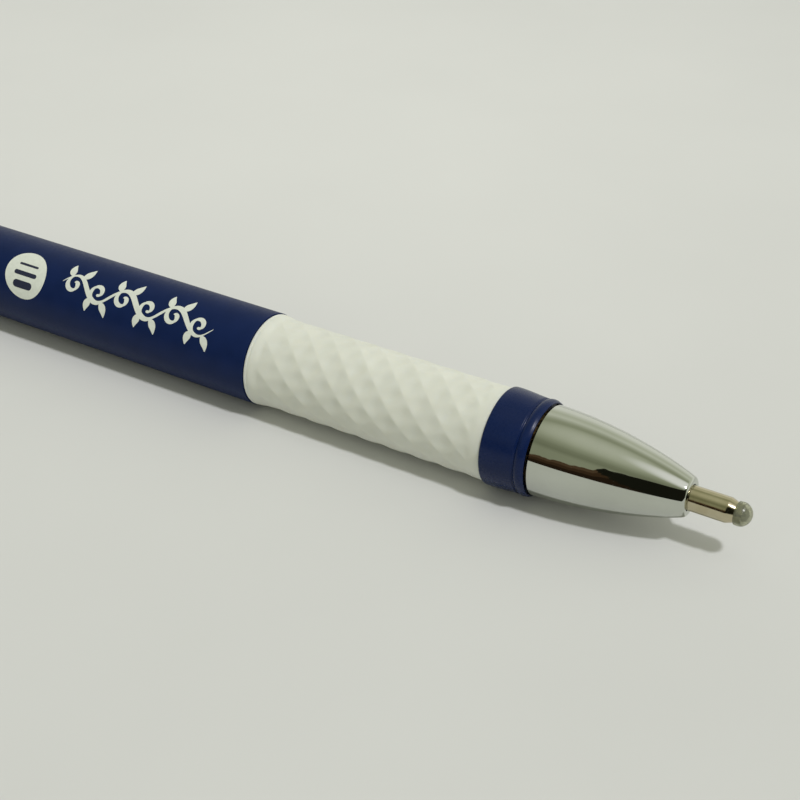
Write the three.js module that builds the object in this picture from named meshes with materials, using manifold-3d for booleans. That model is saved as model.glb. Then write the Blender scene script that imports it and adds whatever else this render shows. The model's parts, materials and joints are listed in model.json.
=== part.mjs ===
// A retractable pen with a thick ball for lettering: chrome nose, navy collar and barrel, white grip sleeve.
// Millimetres, +Z up. The pen lies on its barrel and on one edge of its clip, tip towards +X.
// While the pieces are made, the pen's axis is the X axis and x = 0 is the front rim of the nose.
import * as THREE from 'three';
import { mergeVertices } from 'three/addons/utils/BufferGeometryUtils.js';
import Module from 'manifold-3d';

const wasm = await Module();
wasm.setup();

// Lengths along the axis, front to rear
const TIP_REACH = 5.8;
const NOSE_LENGTH = 14.55;
const COLLAR_LENGTH = 5.05;
const GRIP_LENGTH = 27.3;
const BARREL_LENGTH = 76;
const TAIL_RING_LENGTH = 4;
const BUTTON_REACH = 7;

// The shells, outside and inside
const BARREL_RADIUS = 5;
const BARREL_WALL = 1.4;
const GRIP_SEAT_RADIUS = 3.8;
const GRIP_SEAT_WALL = 0.65;
const SEAT_TAPER_LENGTH = 2;
const EDGE_ROUND = 0.25;
const GRIP_RADIUS = 4.75;
const GRIP_BAND_RADIUS = 4.65;
const GRIP_BAND_LENGTH = 1.7;
const GRIP_BAND_STEP = 0.3;
const NOSE_BASE_RADIUS = 4.4;
const NOSE_RIM_RADIUS = 1.6;
const NOSE_RIM_ROUND = 0.2;
const NOSE_WALL = 0.75;
const NOSE_LAND_LENGTH = 1.6;
const NOSE_FULLNESS = 2.2;
const NOSE_SQUARENESS = 0.95;
const COLLAR_RADIUS = 4.97;
const COLLAR_WAIST_RADIUS = 4.68;
const COLLAR_LIP_RADIUS = 4.82;
const COLLAR_EDGE_ROUND = 0.4;
const COLLAR_SHOULDER_LENGTH = 1.5;
const COLLAR_LIP_LENGTH = 1.35;
const TAIL_RING_RADIUS = 4.92;
const TAIL_LIP_LENGTH = 1.5;

// The brass bushes in the barrel's two ends
const THREAD_CORE_RADIUS = 3.1;
const THREAD_HEIGHT = 0.35;
const THREAD_PITCH = 1;
const THREAD_FOOT_WIDTH = 0.8;
const THREAD_CREST_WIDTH = 0.16;
const THREAD_TURNS = 4;
const THREAD_RUN_OUT = 0.45;
const BUSH_BORE_RADIUS = 2.6;
const BUSH_FLANGE_LENGTH = 0.5;
const BUSH_SPIGOT_LENGTH = 5;
const BUSH_LIP_LENGTH = 0.8;
const TAIL_BUSH_WALL = 0.55;
const TAIL_BUSH_DEPTH = 5;
const TAIL_BUSH_SHOW = 2.4;

// The refill
const REFILL_LENGTH = 98.6;
const REFILL_RADIUS = 2.9;
const REFILL_WALL = 0.35;
const TIP_TUBE_RADIUS = 1.24;
const TIP_LENGTH = 11;
const TIP_TAPER_START = 2.9;
const TIP_TAPER_POWER = 1.3;
const SHANK_RADIUS = 0.95;
const SHANK_LENGTH = 6;
const INK_CHANNEL_RADIUS = 0.4;
const BALL_RADIUS = 0.8;
const BALL_COVER = 0.34;
const SOCKET_LIP = 0.28;
const SOCKET_LIP_WALL = 0.12;
const DROP_RADIUS = 1.1;
const DROP_LENGTH = 1.5;
const HOLDER_NOSE_RADIUS = 1.6;
const HOLDER_HEAD_LENGTH = 2;
const PLUG_LENGTH = 5;
const CAP_HEAD_LENGTH = 3;
const INK_LENGTH = 34;
const GREASE_LENGTH = 4;
const SPRING_COIL_RADIUS = 2.1;
const SPRING_WIRE_RADIUS = 0.2;
const SPRING_TURNS = 9;

// The click mechanism
const CLICK_TRAVEL = 6.4;
const OVERPRESS = 1.2;
const BUTTON_RADIUS = 3.3;
const BUTTON_WALL = 0.4;
const BUTTON_END_WALL = 0.8;
const BUTTON_ROUND = 0.9;
const BUTTON_FLANGE_LENGTH = 1;
const SLEEVE_WALL = 0.45;
const SLEEVE_FLANGE_LENGTH = 3;
const RIB_REACH = 1.72;
const RIB_WIDTH = 1.3;
const CAM_SLANT = 0.7;
const CAM_COUNT = 4;
const FIN_WIDTH = 0.8;
const FIN_LENGTH = 2.5;
const ROTOR_RADIUS = 1.5;
const ROTOR_HEEL = 1.3;
const PILOT_RADIUS = 0.85;
const PILOT_LENGTH = 1.8;
const PLUNGER_RADIUS = 1.6;
const PLUNGER_HEAD_LENGTH = 6;
const PLUNGER_BORE_RADIUS = 1.1;
const PLUNGER_BORE_LENGTH = 2.8;
const CROWN_DEPTH = 0.6;
const PLUNGER_FIN_SET_BACK = 1;
const SLEEVE_RUN_ON = 1;

// The clip
const CLIP_LENGTH = 37;
const CLIP_WIDTH = 4.8;
const CLIP_END_WIDTH = 3.6;
const CLIP_THICKNESS = 0.8;
const CLIP_RISE = 2.7;
const CLIP_SAG = 0.9;
const CLIP_BEND_RADIUS = 1.3;
const CLIP_TOE_LENGTH = 2.4;
const CLIP_TOE_RISE = 0.8;
const CLIP_DIP_LENGTH = 4.5;

// Clearances
const PRESS_FIT = 0.05;
const SLIDE_FIT = 0.12;
const SEAT_GAP = 0.3;
const TIP_FIT = 0.13;
const COVER_GAP = 0.04;

// How finely the round pieces are cut
const OUTER_SIDES = 40;
const INNER_SIDES = 24;
const ROUND_STEPS = 4;
const NOSE_STEPS = 11;
const BALL_STEPS = 8;
const COIL_STEPS = 8;
const WIRE_SIDES = 5;
const THREAD_STEPS = 16;

// Colours and finishes
const FINISHES = {
  navy: { color: 0x232f57, roughness: 0.55, metalness: 0 },
  navyGloss: { color: 0x25315c, roughness: 0.25, metalness: 0 },
  white: { color: 0xe4e4dc, roughness: 0.75, metalness: 0 },
  chrome: { color: 0xd4d4d2, roughness: 0.08, metalness: 1 },
  brass: { color: 0xb08d4a, roughness: 0.35, metalness: 1 },
  nickel: { color: 0xb9ad98, roughness: 0.25, metalness: 1 },
  steel: { color: 0xa8a8a6, roughness: 0.3, metalness: 1 },
  ball: { color: 0x8c8c8c, roughness: 0.2, metalness: 1 },
  wax: { color: 0xb9bfb2, roughness: 0.3, metalness: 0 },
  clear: { color: 0xd9dcdc, roughness: 0.3, metalness: 0 },
  ink: { color: 0x10131c, roughness: 0.2, metalness: 0 },
  grease: { color: 0xcdb873, roughness: 0.3, metalness: 0 },
  natural: { color: 0xd8d6cc, roughness: 0.5, metalness: 0 },
};

// Stations on the axis
const NOSE_BASE = -NOSE_LENGTH;
const COLLAR_REAR = NOSE_BASE - COLLAR_LENGTH;
const GRIP_REAR = COLLAR_REAR - GRIP_LENGTH;
const BARREL_REAR = GRIP_REAR - BARREL_LENGTH;
const RING_REAR = BARREL_REAR - TAIL_RING_LENGTH;
const BUTTON_END = RING_REAR - BUTTON_REACH;
const THREAD_REAR = NOSE_BASE - THREAD_RUN_OUT;
const BARREL_FRONT = THREAD_REAR - BUSH_FLANGE_LENGTH;
const BUSH_REAR = BARREL_FRONT - BUSH_SPIGOT_LENGTH;
const THREAD_FRONT = THREAD_REAR + THREAD_PITCH * (THREAD_TURNS + 1);
const BUSH_FRONT = THREAD_FRONT + BUSH_LIP_LENGTH;
const SPRING_FRONT = THREAD_FRONT;
const HOLDER_SHOULDER = BUSH_REAR - OVERPRESS - SEAT_GAP;
const TUBE_FRONT = HOLDER_SHOULDER - HOLDER_HEAD_LENGTH;
const TIP_REAR = TIP_REACH - TIP_LENGTH;
const REFILL_REAR = TIP_REACH - REFILL_LENGTH;
const TUBE_REAR = REFILL_REAR + CAP_HEAD_LENGTH;
const SLEEVE_FRONT = REFILL_REAR - CLICK_TRAVEL - SEAT_GAP;
const FIN_REAR = SLEEVE_FRONT + SEAT_GAP;
const ROTOR_REAR = FIN_REAR - ROTOR_HEEL;
const PLUNGER_FRONT = ROTOR_REAR - COVER_GAP;
const PLUNGER_FIN_FRONT = PLUNGER_FRONT - PLUNGER_FIN_SET_BACK;
const SLEEVE_REAR = PLUNGER_FIN_FRONT - FIN_LENGTH - CLICK_TRAVEL - SLEEVE_RUN_ON;
const TAIL_LIP_FRONT = RING_REAR + TAIL_LIP_LENGTH;
const BUTTON_FLANGE_REAR = TAIL_LIP_FRONT + CLICK_TRAVEL + PRESS_FIT;
const BUTTON_FRONT = BUTTON_FLANGE_REAR + BUTTON_FLANGE_LENGTH;
const TAIL_BUSH_FRONT = BARREL_REAR + TAIL_BUSH_DEPTH;
const TAIL_BUSH_REAR = BARREL_REAR - TAIL_BUSH_SHOW;
const CLIP_ROOT = BARREL_REAR - (TAIL_RING_LENGTH - TAIL_LIP_LENGTH) / 2;

// Radii that follow from the ones above
const BARREL_BORE = BARREL_RADIUS - BARREL_WALL;
const SEAT_BORE = GRIP_SEAT_RADIUS - GRIP_SEAT_WALL;
const SLEEVED_BORE = GRIP_SEAT_RADIUS + PRESS_FIT;
const THREAD_CREST_RADIUS = THREAD_CORE_RADIUS + THREAD_HEIGHT;
const TAIL_BUSH_BORE = BARREL_BORE + PRESS_FIT;
const TAIL_BUSH_RADIUS = TAIL_BUSH_BORE + TAIL_BUSH_WALL;
const BUTTON_GUIDE = BUTTON_RADIUS + SLIDE_FIT;
const BUTTON_BORE = BUTTON_RADIUS - BUTTON_WALL;
const SLEEVE_RADIUS = BUTTON_BORE - SLIDE_FIT;
const GROOVE_RADIUS = SLEEVE_RADIUS - SLEEVE_WALL;
const FIN_RADIUS = GROOVE_RADIUS - SLIDE_FIT;
const TUBE_BORE = REFILL_RADIUS - REFILL_WALL;
const PLUG_RADIUS = TUBE_BORE - PRESS_FIT;
const BALL_CENTRE = TIP_REACH - BALL_COVER - BALL_RADIUS;

// Points of an arc in the plane of (x, radius), both ends included
function arc(x, r, radius, from, to, steps = ROUND_STEPS) {
  return Array.from({ length: steps + 1 }, (_, i) => {
    const angle = THREE.MathUtils.degToRad(from + ((to - from) * i) / steps);
    return [x + radius * Math.cos(angle), r + radius * Math.sin(angle)];
  });
}

// A turned piece. Its outline of [x, radius] points runs forward outside and back along the bore.
function turned(outline, sides = OUTER_SIDES) {
  const profile = outline.map(([x, r]) => new THREE.Vector2(r, x));
  if (outline[0][1] > 0) profile.push(profile[0].clone());
  return new THREE.LatheGeometry(profile, sides, Math.PI / sides).rotateZ(-Math.PI / 2);
}

// A straight tube or rod between two stations
function tube(rear, front, outer, bore, sides) {
  if (bore === 0) return turned([[rear, 0], [rear, outer], [front, outer], [front, 0]], sides);
  return turned([[rear, bore], [rear, outer], [front, outer], [front, bore]], sides);
}

// A wire or ridge wound right-handed round the axis. Its section is [x, radius] offsets, turning
// anticlockwise with x to the right and the radius upwards.
function wound(rear, pitch, turns, radius, section, stepsPerTurn) {
  const rings = turns * stepsPerTurn + 1;
  const count = section.length;
  const positions = [];
  const faces = [];
  for (let i = 0; i < rings; i += 1) {
    const angle = (2 * Math.PI * i) / stepsPerTurn;
    section.forEach(([dx, dr]) => {
      const r = radius + dr;
      const x = rear + (pitch * i) / stepsPerTurn + dx;
      positions.push(x, r * Math.cos(angle), r * Math.sin(angle));
    });
  }
  for (let i = 0; i < rings - 1; i += 1) {
    for (let j = 0; j < count; j += 1) {
      const a = i * count + j;
      const b = i * count + ((j + 1) % count);
      faces.push(a, b, a + count, b, b + count, a + count);
    }
  }
  const last = (rings - 1) * count;
  for (let j = 1; j < count - 1; j += 1) {
    faces.push(0, j + 1, j);
    faces.push(last, last + j, last + j + 1);
  }
  const geometry = new THREE.BufferGeometry();
  geometry.setAttribute('position', new THREE.Float32BufferAttribute(positions, 3));
  geometry.setIndex(faces);
  return geometry;
}

function asSolid(geometry) {
  const bare = geometry.index ? geometry.toNonIndexed() : geometry.clone();
  bare.deleteAttribute('normal');
  bare.deleteAttribute('uv');
  const merged = mergeVertices(bare, 1e-3);
  const vertProperties = new Float32Array(merged.getAttribute('position').array);
  const triVerts = new Uint32Array(merged.index.array);
  return new wasm.Manifold(new wasm.Mesh({ numProp: 3, vertProperties, triVerts }));
}

function asGeometry(solid) {
  const { vertProperties, triVerts } = solid.getMesh();
  const geometry = new THREE.BufferGeometry();
  geometry.setAttribute('position', new THREE.Float32BufferAttribute(vertProperties, 3));
  geometry.setIndex(new THREE.BufferAttribute(triVerts, 1));
  geometry.computeVertexNormals();
  return geometry;
}

function joined(first, ...others) {
  return asGeometry(others.reduce((sum, next) => sum.add(asSolid(next)), asSolid(first)));
}

function cut(first, ...others) {
  return asGeometry(others.reduce((rest, next) => rest.subtract(asSolid(next)), asSolid(first)));
}

// Copies of a piece turned evenly round the axis
function around(geometry, count, offset = 0) {
  return Array.from({ length: count }, (_, i) =>
    geometry.clone().rotateX(((i + offset) * 2 * Math.PI) / count),
  );
}

// A straight fin along the axis, its centre plane at +Z, one end slanted by the cam angle
function fin(rear, front, inner, outer, width, frontSlant, rearSlant) {
  const half = width / 2;
  const plan = new THREE.Shape([
    new THREE.Vector2(rear, -half),
    new THREE.Vector2(front - frontSlant, -half),
    new THREE.Vector2(front, half),
    new THREE.Vector2(rear + rearSlant, half),
  ]);
  const depth = outer - inner;
  return new THREE.ExtrudeGeometry(plan, { depth, bevelEnabled: false }).translate(0, 0, inner);
}

// The nose's outside: nearly straight at the base, rounding in to the rim
function noseRadius(x) {
  const share = Math.min(1, Math.max(0, 1 + x / NOSE_LENGTH));
  const fall = (1 - share ** NOSE_FULLNESS) ** NOSE_SQUARENESS;
  return NOSE_RIM_RADIUS + (NOSE_BASE_RADIUS - NOSE_RIM_RADIUS) * fall;
}

function noseCone() {
  const rimStart = -NOSE_RIM_ROUND;
  const outside = [];
  for (let i = 0; i <= NOSE_STEPS; i += 1) {
    const share = Math.sin((Math.PI / 2) * (i / NOSE_STEPS));
    const x = NOSE_BASE + (rimStart - NOSE_BASE) * share;
    outside.push([x, noseRadius(x)]);
  }
  const rimRadius = noseRadius(rimStart) - NOSE_RIM_ROUND;
  const rim = arc(rimStart, rimRadius, NOSE_RIM_ROUND, 90, 0, 3).slice(1);
  const land = TIP_TUBE_RADIUS + TIP_FIT;
  const inside = [[0, land], [-NOSE_LAND_LENGTH, land]];
  const cavityEnd = BUSH_FRONT + SEAT_GAP;
  const threadBore = THREAD_CREST_RADIUS + PRESS_FIT;
  for (let i = 1; i <= NOSE_STEPS - 3; i += 1) {
    const x = -NOSE_LAND_LENGTH + ((cavityEnd + NOSE_LAND_LENGTH) * i) / (NOSE_STEPS - 3);
    inside.push([x, Math.min(noseRadius(x) - NOSE_WALL, threadBore)]);
  }
  inside.push([cavityEnd - THREAD_HEIGHT, threadBore], [NOSE_BASE, threadBore]);
  return turned([...outside, ...rim, ...inside]);
}

function collarRing() {
  const waist = NOSE_BASE - COLLAR_LIP_LENGTH;
  const shoulder = COLLAR_REAR + COLLAR_SHOULDER_LENGTH;
  const edge = COLLAR_EDGE_ROUND;
  const lipMiddle = NOSE_BASE - COLLAR_LIP_LENGTH / 2;
  const lipRound = COLLAR_LIP_RADIUS - COLLAR_WAIST_RADIUS;
  return turned([
    [COLLAR_REAR, SLEEVED_BORE],
    ...arc(COLLAR_REAR + edge, COLLAR_RADIUS - edge, edge, 180, 90),
    [shoulder, COLLAR_RADIUS],
    [(shoulder + waist) / 2, (COLLAR_RADIUS + COLLAR_WAIST_RADIUS) / 2 + PRESS_FIT],
    [waist, COLLAR_WAIST_RADIUS],
    [lipMiddle - COLLAR_LIP_LENGTH / 4, COLLAR_LIP_RADIUS - lipRound / 4],
    [lipMiddle, COLLAR_LIP_RADIUS],
    [lipMiddle + COLLAR_LIP_LENGTH / 4, COLLAR_LIP_RADIUS - lipRound / 4],
    [NOSE_BASE, COLLAR_WAIST_RADIUS - lipRound / 2],
    [NOSE_BASE, SLEEVED_BORE],
  ]);
}

function gripSleeve() {
  const frontBand = COLLAR_REAR - GRIP_BAND_LENGTH;
  const rearBand = GRIP_REAR + GRIP_BAND_LENGTH;
  return turned([
    [GRIP_REAR, SLEEVED_BORE],
    [GRIP_REAR, GRIP_BAND_RADIUS],
    [rearBand, GRIP_BAND_RADIUS],
    [rearBand + GRIP_BAND_STEP, GRIP_RADIUS],
    [frontBand - GRIP_BAND_STEP, GRIP_RADIUS],
    [frontBand, GRIP_BAND_RADIUS],
    [COLLAR_REAR, GRIP_BAND_RADIUS],
    [COLLAR_REAR, SLEEVED_BORE],
  ]);
}

function barrel() {
  const taperFront = GRIP_REAR - SEAT_TAPER_LENGTH;
  const counterbore = TAIL_BUSH_RADIUS + PRESS_FIT;
  return turned([
    [BARREL_REAR, counterbore],
    ...arc(BARREL_REAR + EDGE_ROUND, BARREL_RADIUS - EDGE_ROUND, EDGE_ROUND, 180, 90, 2),
    ...arc(GRIP_REAR - EDGE_ROUND, BARREL_RADIUS - EDGE_ROUND, EDGE_ROUND, 90, 0, 2),
    [GRIP_REAR, GRIP_SEAT_RADIUS],
    [BARREL_FRONT, GRIP_SEAT_RADIUS],
    [BARREL_FRONT, SEAT_BORE],
    [taperFront, SEAT_BORE],
    [taperFront - SEAT_TAPER_LENGTH, BARREL_BORE],
    [TAIL_BUSH_FRONT, BARREL_BORE],
    [TAIL_BUSH_FRONT, counterbore],
  ]);
}

function frontBush() {
  const spigot = SEAT_BORE - PRESS_FIT;
  const hole = HOLDER_NOSE_RADIUS + SEAT_GAP;
  const body = turned(
    [
      [BUSH_REAR, BUSH_BORE_RADIUS],
      [BUSH_REAR, spigot],
      [BARREL_FRONT, spigot],
      [BARREL_FRONT, GRIP_SEAT_RADIUS],
      [THREAD_REAR, GRIP_SEAT_RADIUS],
      [THREAD_REAR, THREAD_CORE_RADIUS],
      [BUSH_FRONT, THREAD_CORE_RADIUS],
      [BUSH_FRONT, hole],
      [SPRING_FRONT, hole],
      [SPRING_FRONT, BUSH_BORE_RADIUS],
    ],
    INNER_SIDES,
  );
  const foot = THREAD_FOOT_WIDTH / 2;
  const crest = THREAD_CREST_WIDTH / 2;
  const ridge = [
    [-foot, -THREAD_HEIGHT / 2],
    [foot, -THREAD_HEIGHT / 2],
    [crest, THREAD_HEIGHT],
    [-crest, THREAD_HEIGHT],
  ];
  const start = THREAD_REAR + THREAD_PITCH / 2;
  const thread = wound(start, THREAD_PITCH, THREAD_TURNS, THREAD_CORE_RADIUS, ridge, THREAD_STEPS);
  return joined(body, thread);
}

function tailBush() {
  return tube(TAIL_BUSH_REAR, TAIL_BUSH_FRONT, TAIL_BUSH_RADIUS, TAIL_BUSH_BORE, OUTER_SIDES);
}

function tailRing() {
  const round = EDGE_ROUND * 2;
  const bore = TAIL_BUSH_RADIUS + PRESS_FIT;
  const ring = turned([
    [RING_REAR, BUTTON_GUIDE],
    ...arc(RING_REAR + round, TAIL_RING_RADIUS - round, round, 180, 90),
    ...arc(BARREL_REAR - EDGE_ROUND, TAIL_RING_RADIUS - EDGE_ROUND, EDGE_ROUND, 90, 0, 2),
    [BARREL_REAR, bore],
    [TAIL_LIP_FRONT, bore],
    [TAIL_LIP_FRONT, BUTTON_GUIDE],
  ]);
  const window = new THREE.BoxGeometry(
    CLIP_THICKNESS + 2 * SEAT_GAP,
    CLIP_WIDTH + 2 * SEAT_GAP,
    BARREL_RADIUS,
  ).translate(CLIP_ROOT, 0, TAIL_BUSH_BORE + BARREL_RADIUS / 2);
  return cut(ring, window);
}

function pushButton() {
  const shoulder = BUTTON_END + BUTTON_ROUND;
  const flange = BARREL_BORE - SLIDE_FIT;
  const floor = BUTTON_END + BUTTON_END_WALL;
  return turned([
    [BUTTON_END, 0],
    ...arc(shoulder, BUTTON_RADIUS - BUTTON_ROUND, BUTTON_ROUND, 180, 90, 5),
    [BUTTON_FLANGE_REAR, BUTTON_RADIUS],
    [BUTTON_FLANGE_REAR, flange],
    [BUTTON_FRONT, flange],
    [BUTTON_FRONT, BUTTON_BORE],
    [floor, BUTTON_BORE],
    [floor, 0],
  ]);
}

function camSleeve() {
  const flange = BARREL_BORE - PRESS_FIT;
  const flangeRear = SLEEVE_FRONT - SLEEVE_FLANGE_LENGTH;
  const shell = turned(
    [
      [SLEEVE_REAR, GROOVE_RADIUS],
      [SLEEVE_REAR, SLEEVE_RADIUS],
      [flangeRear, SLEEVE_RADIUS],
      [flangeRear, flange],
      [SLEEVE_FRONT, flange],
      [SLEEVE_FRONT, GROOVE_RADIUS],
    ],
    INNER_SIDES,
  );
  const outer = (GROOVE_RADIUS + SLEEVE_RADIUS) / 2;
  const rib = fin(SLEEVE_REAR, SLEEVE_FRONT, RIB_REACH, outer, RIB_WIDTH, CAM_SLANT, 0);
  return joined(shell, ...around(rib, CAM_COUNT, 0.5));
}

function rotor() {
  const body = turned(
    [
      [ROTOR_REAR - PILOT_LENGTH, 0],
      [ROTOR_REAR - PILOT_LENGTH, PILOT_RADIUS],
      [ROTOR_REAR, PILOT_RADIUS],
      [ROTOR_REAR, ROTOR_RADIUS],
      [REFILL_REAR, ROTOR_RADIUS],
      [REFILL_REAR, 0],
    ],
    INNER_SIDES,
  );
  const root = ROTOR_RADIUS / 2;
  const cam = fin(FIN_REAR, FIN_REAR + FIN_LENGTH, root, FIN_RADIUS, FIN_WIDTH, 0, CAM_SLANT);
  return joined(body, ...around(cam, CAM_COUNT));
}

function camPlunger() {
  const floor = BUTTON_END + BUTTON_END_WALL;
  const head = BUTTON_BORE - PRESS_FIT;
  const neck = floor + PLUNGER_HEAD_LENGTH;
  const body = turned(
    [
      [floor, 0],
      [floor, head],
      [neck, head],
      [neck, PLUNGER_RADIUS],
      [PLUNGER_FRONT, PLUNGER_RADIUS],
      [PLUNGER_FRONT, PLUNGER_BORE_RADIUS],
      [PLUNGER_FRONT - PLUNGER_BORE_LENGTH, PLUNGER_BORE_RADIUS],
      [PLUNGER_FRONT - PLUNGER_BORE_LENGTH, 0],
    ],
    INNER_SIDES,
  );
  const keyRear = PLUNGER_FIN_FRONT - FIN_LENGTH;
  const keyRoot = (PLUNGER_BORE_RADIUS + PLUNGER_RADIUS) / 2;
  const key = fin(keyRear, PLUNGER_FIN_FRONT, keyRoot, FIN_RADIUS, FIN_WIDTH, 0, 0);
  const notchWidth = (PLUNGER_RADIUS * Math.PI) / (2 * CAM_COUNT);
  const notch = new THREE.Shape([
    new THREE.Vector2(PLUNGER_FRONT - CROWN_DEPTH, 0),
    new THREE.Vector2(PLUNGER_FRONT + CROWN_DEPTH, -notchWidth),
    new THREE.Vector2(PLUNGER_FRONT + CROWN_DEPTH, notchWidth),
  ]);
  const groove = new THREE.ExtrudeGeometry(notch, { depth: BARREL_RADIUS, bevelEnabled: false });
  const keyed = joined(body, ...around(key, CAM_COUNT));
  return cut(keyed, ...around(groove, 2 * CAM_COUNT));
}

function returnSpring() {
  const rear = HOLDER_SHOULDER + SPRING_WIRE_RADIUS + COVER_GAP;
  const front = SPRING_FRONT - SPRING_WIRE_RADIUS - COVER_GAP;
  const pitch = (front - rear) / SPRING_TURNS;
  const section = Array.from({ length: WIRE_SIDES }, (_, i) => {
    const angle = (2 * Math.PI * i) / WIRE_SIDES;
    return [SPRING_WIRE_RADIUS * Math.cos(angle), SPRING_WIRE_RADIUS * Math.sin(angle)];
  });
  const coil = wound(rear, pitch, SPRING_TURNS, SPRING_COIL_RADIUS, section, COIL_STEPS);
  console.log(`return_spring: least gap between turns ${leastGap(coil, section.length).toFixed(2)} mm`);
  return coil;
}

// The least distance between the points of a wound wire that lie a turn or more apart
function leastGap(coil, sides) {
  const points = coil.getAttribute('position');
  const turn = sides * COIL_STEPS;
  const a = new THREE.Vector3();
  const b = new THREE.Vector3();
  let least = Infinity;
  for (let i = 0; i < points.count; i += 1) {
    const end = Math.min(points.count, i + turn + 2 * sides);
    for (let j = i + turn - 2 * sides; j < end; j += 1) {
      a.fromBufferAttribute(points, i);
      b.fromBufferAttribute(points, j);
      least = Math.min(least, a.distanceTo(b));
    }
  }
  return least;
}

function refillCap() {
  return turned(
    [
      [REFILL_REAR, INK_CHANNEL_RADIUS],
      [REFILL_REAR, REFILL_RADIUS - EDGE_ROUND],
      [REFILL_REAR + EDGE_ROUND, REFILL_RADIUS],
      [TUBE_REAR, REFILL_RADIUS],
      [TUBE_REAR, PLUG_RADIUS],
      [TUBE_REAR + PLUG_LENGTH, PLUG_RADIUS],
      [TUBE_REAR + PLUG_LENGTH, INK_CHANNEL_RADIUS],
    ],
    INNER_SIDES,
  );
}

function refillTube() {
  return tube(TUBE_REAR, TUBE_FRONT, REFILL_RADIUS, TUBE_BORE, INNER_SIDES);
}

function inkColumn() {
  const front = TUBE_FRONT - PLUG_LENGTH;
  return tube(front - INK_LENGTH, front, PLUG_RADIUS, 0, INNER_SIDES);
}

function greaseFollower() {
  const front = TUBE_FRONT - PLUG_LENGTH - INK_LENGTH;
  return tube(front - GREASE_LENGTH, front, PLUG_RADIUS, 0, INNER_SIDES);
}

function tipHolder() {
  const shankBore = SHANK_RADIUS + PRESS_FIT;
  const shankEnd = TIP_REAR - SHANK_LENGTH;
  const plugRear = TUBE_FRONT - PLUG_LENGTH;
  return turned(
    [
      [plugRear, INK_CHANNEL_RADIUS],
      [plugRear, PLUG_RADIUS],
      [TUBE_FRONT, PLUG_RADIUS],
      [TUBE_FRONT, REFILL_RADIUS],
      [HOLDER_SHOULDER, REFILL_RADIUS],
      [HOLDER_SHOULDER, HOLDER_NOSE_RADIUS],
      [TIP_REAR - EDGE_ROUND, HOLDER_NOSE_RADIUS],
      [TIP_REAR, HOLDER_NOSE_RADIUS - EDGE_ROUND],
      [TIP_REAR, shankBore],
      [shankEnd, shankBore],
      [shankEnd, INK_CHANNEL_RADIUS],
    ],
    INNER_SIDES,
  );
}

// The metal tip's taper, from the straight tube down to the lip that holds the ball
const CUP_RADIUS = BALL_RADIUS + COVER_GAP;
const LIP_FRONT = BALL_CENTRE + SOCKET_LIP;
const LIP_BORE = Math.sqrt(CUP_RADIUS ** 2 - SOCKET_LIP ** 2);
const LIP_RADIUS = LIP_BORE + SOCKET_LIP_WALL;
const LIP_ANGLE = THREE.MathUtils.radToDeg(Math.asin(LIP_BORE / CUP_RADIUS));

function taperRadius(x) {
  const share = (x - TIP_TAPER_START) / (LIP_FRONT - TIP_TAPER_START);
  return TIP_TUBE_RADIUS - (TIP_TUBE_RADIUS - LIP_RADIUS) * share ** TIP_TAPER_POWER;
}

// The metal tip: a shank, a straight tube, the taper and the cup that holds the ball
function tipBody() {
  const shankRear = TIP_REAR - SHANK_LENGTH + PRESS_FIT;
  const taper = [];
  for (let i = 0; i <= ROUND_STEPS; i += 1) {
    const x = TIP_TAPER_START + ((LIP_FRONT - TIP_TAPER_START) * i) / ROUND_STEPS;
    taper.push([x, taperRadius(x)]);
  }
  const channelAngle = 180 - THREE.MathUtils.radToDeg(Math.asin(INK_CHANNEL_RADIUS / CUP_RADIUS));
  return turned(
    [
      [shankRear, INK_CHANNEL_RADIUS],
      [shankRear, SHANK_RADIUS],
      [TIP_REAR, SHANK_RADIUS],
      [TIP_REAR, TIP_TUBE_RADIUS],
      ...taper,
      ...arc(BALL_CENTRE, 0, CUP_RADIUS, LIP_ANGLE, channelAngle, BALL_STEPS),
    ],
    INNER_SIDES,
  );
}

function writingBall() {
  return turned(arc(BALL_CENTRE, 0, BALL_RADIUS, 180, 0, BALL_STEPS), INNER_SIDES);
}

// The soft drop that seals a new ball: a dome round the ball, open where the metal cup goes in
function sealingDrop() {
  const rear = TIP_REACH - DROP_LENGTH;
  const seat = taperRadius(rear) + COVER_GAP;
  const edge = LIP_FRONT + COVER_GAP;
  const inner = arc(BALL_CENTRE, 0, CUP_RADIUS, 0, LIP_ANGLE, ROUND_STEPS).slice(0, -1);
  return turned(
    [
      [rear, seat],
      [rear, DROP_RADIUS],
      ...arc(TIP_REACH - DROP_RADIUS, 0, DROP_RADIUS, 90, 0, BALL_STEPS),
      ...inner,
      [edge, LIP_BORE],
      [edge, LIP_RADIUS + COVER_GAP],
    ],
    INNER_SIDES,
  );
}

// The clip's side view: a leg through the tail ring, a bend, a sagging arm, a dip and a toe
function clipSpine() {
  const bend = CLIP_BEND_RADIUS;
  const arm = BARREL_RADIUS + CLIP_RISE;
  const dip = BARREL_RADIUS + SEAT_GAP + CLIP_THICKNESS / 2;
  const toe = CLIP_ROOT + CLIP_LENGTH;
  const foot = toe - CLIP_TOE_LENGTH;
  return [
    [CLIP_ROOT, TAIL_BUSH_RADIUS + SEAT_GAP],
    ...arc(CLIP_ROOT + bend, arm - bend, bend, 180, 90),
    [foot - CLIP_DIP_LENGTH, arm - CLIP_SAG],
    [foot - CLIP_DIP_LENGTH / 3, dip + (arm - CLIP_SAG - dip) / 4],
    [foot, dip],
    [foot + CLIP_TOE_LENGTH / 2, dip + CLIP_TOE_RISE / 4],
    [toe, dip + CLIP_TOE_RISE],
  ].map(([x, h]) => new THREE.Vector2(x, h));
}

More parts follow.
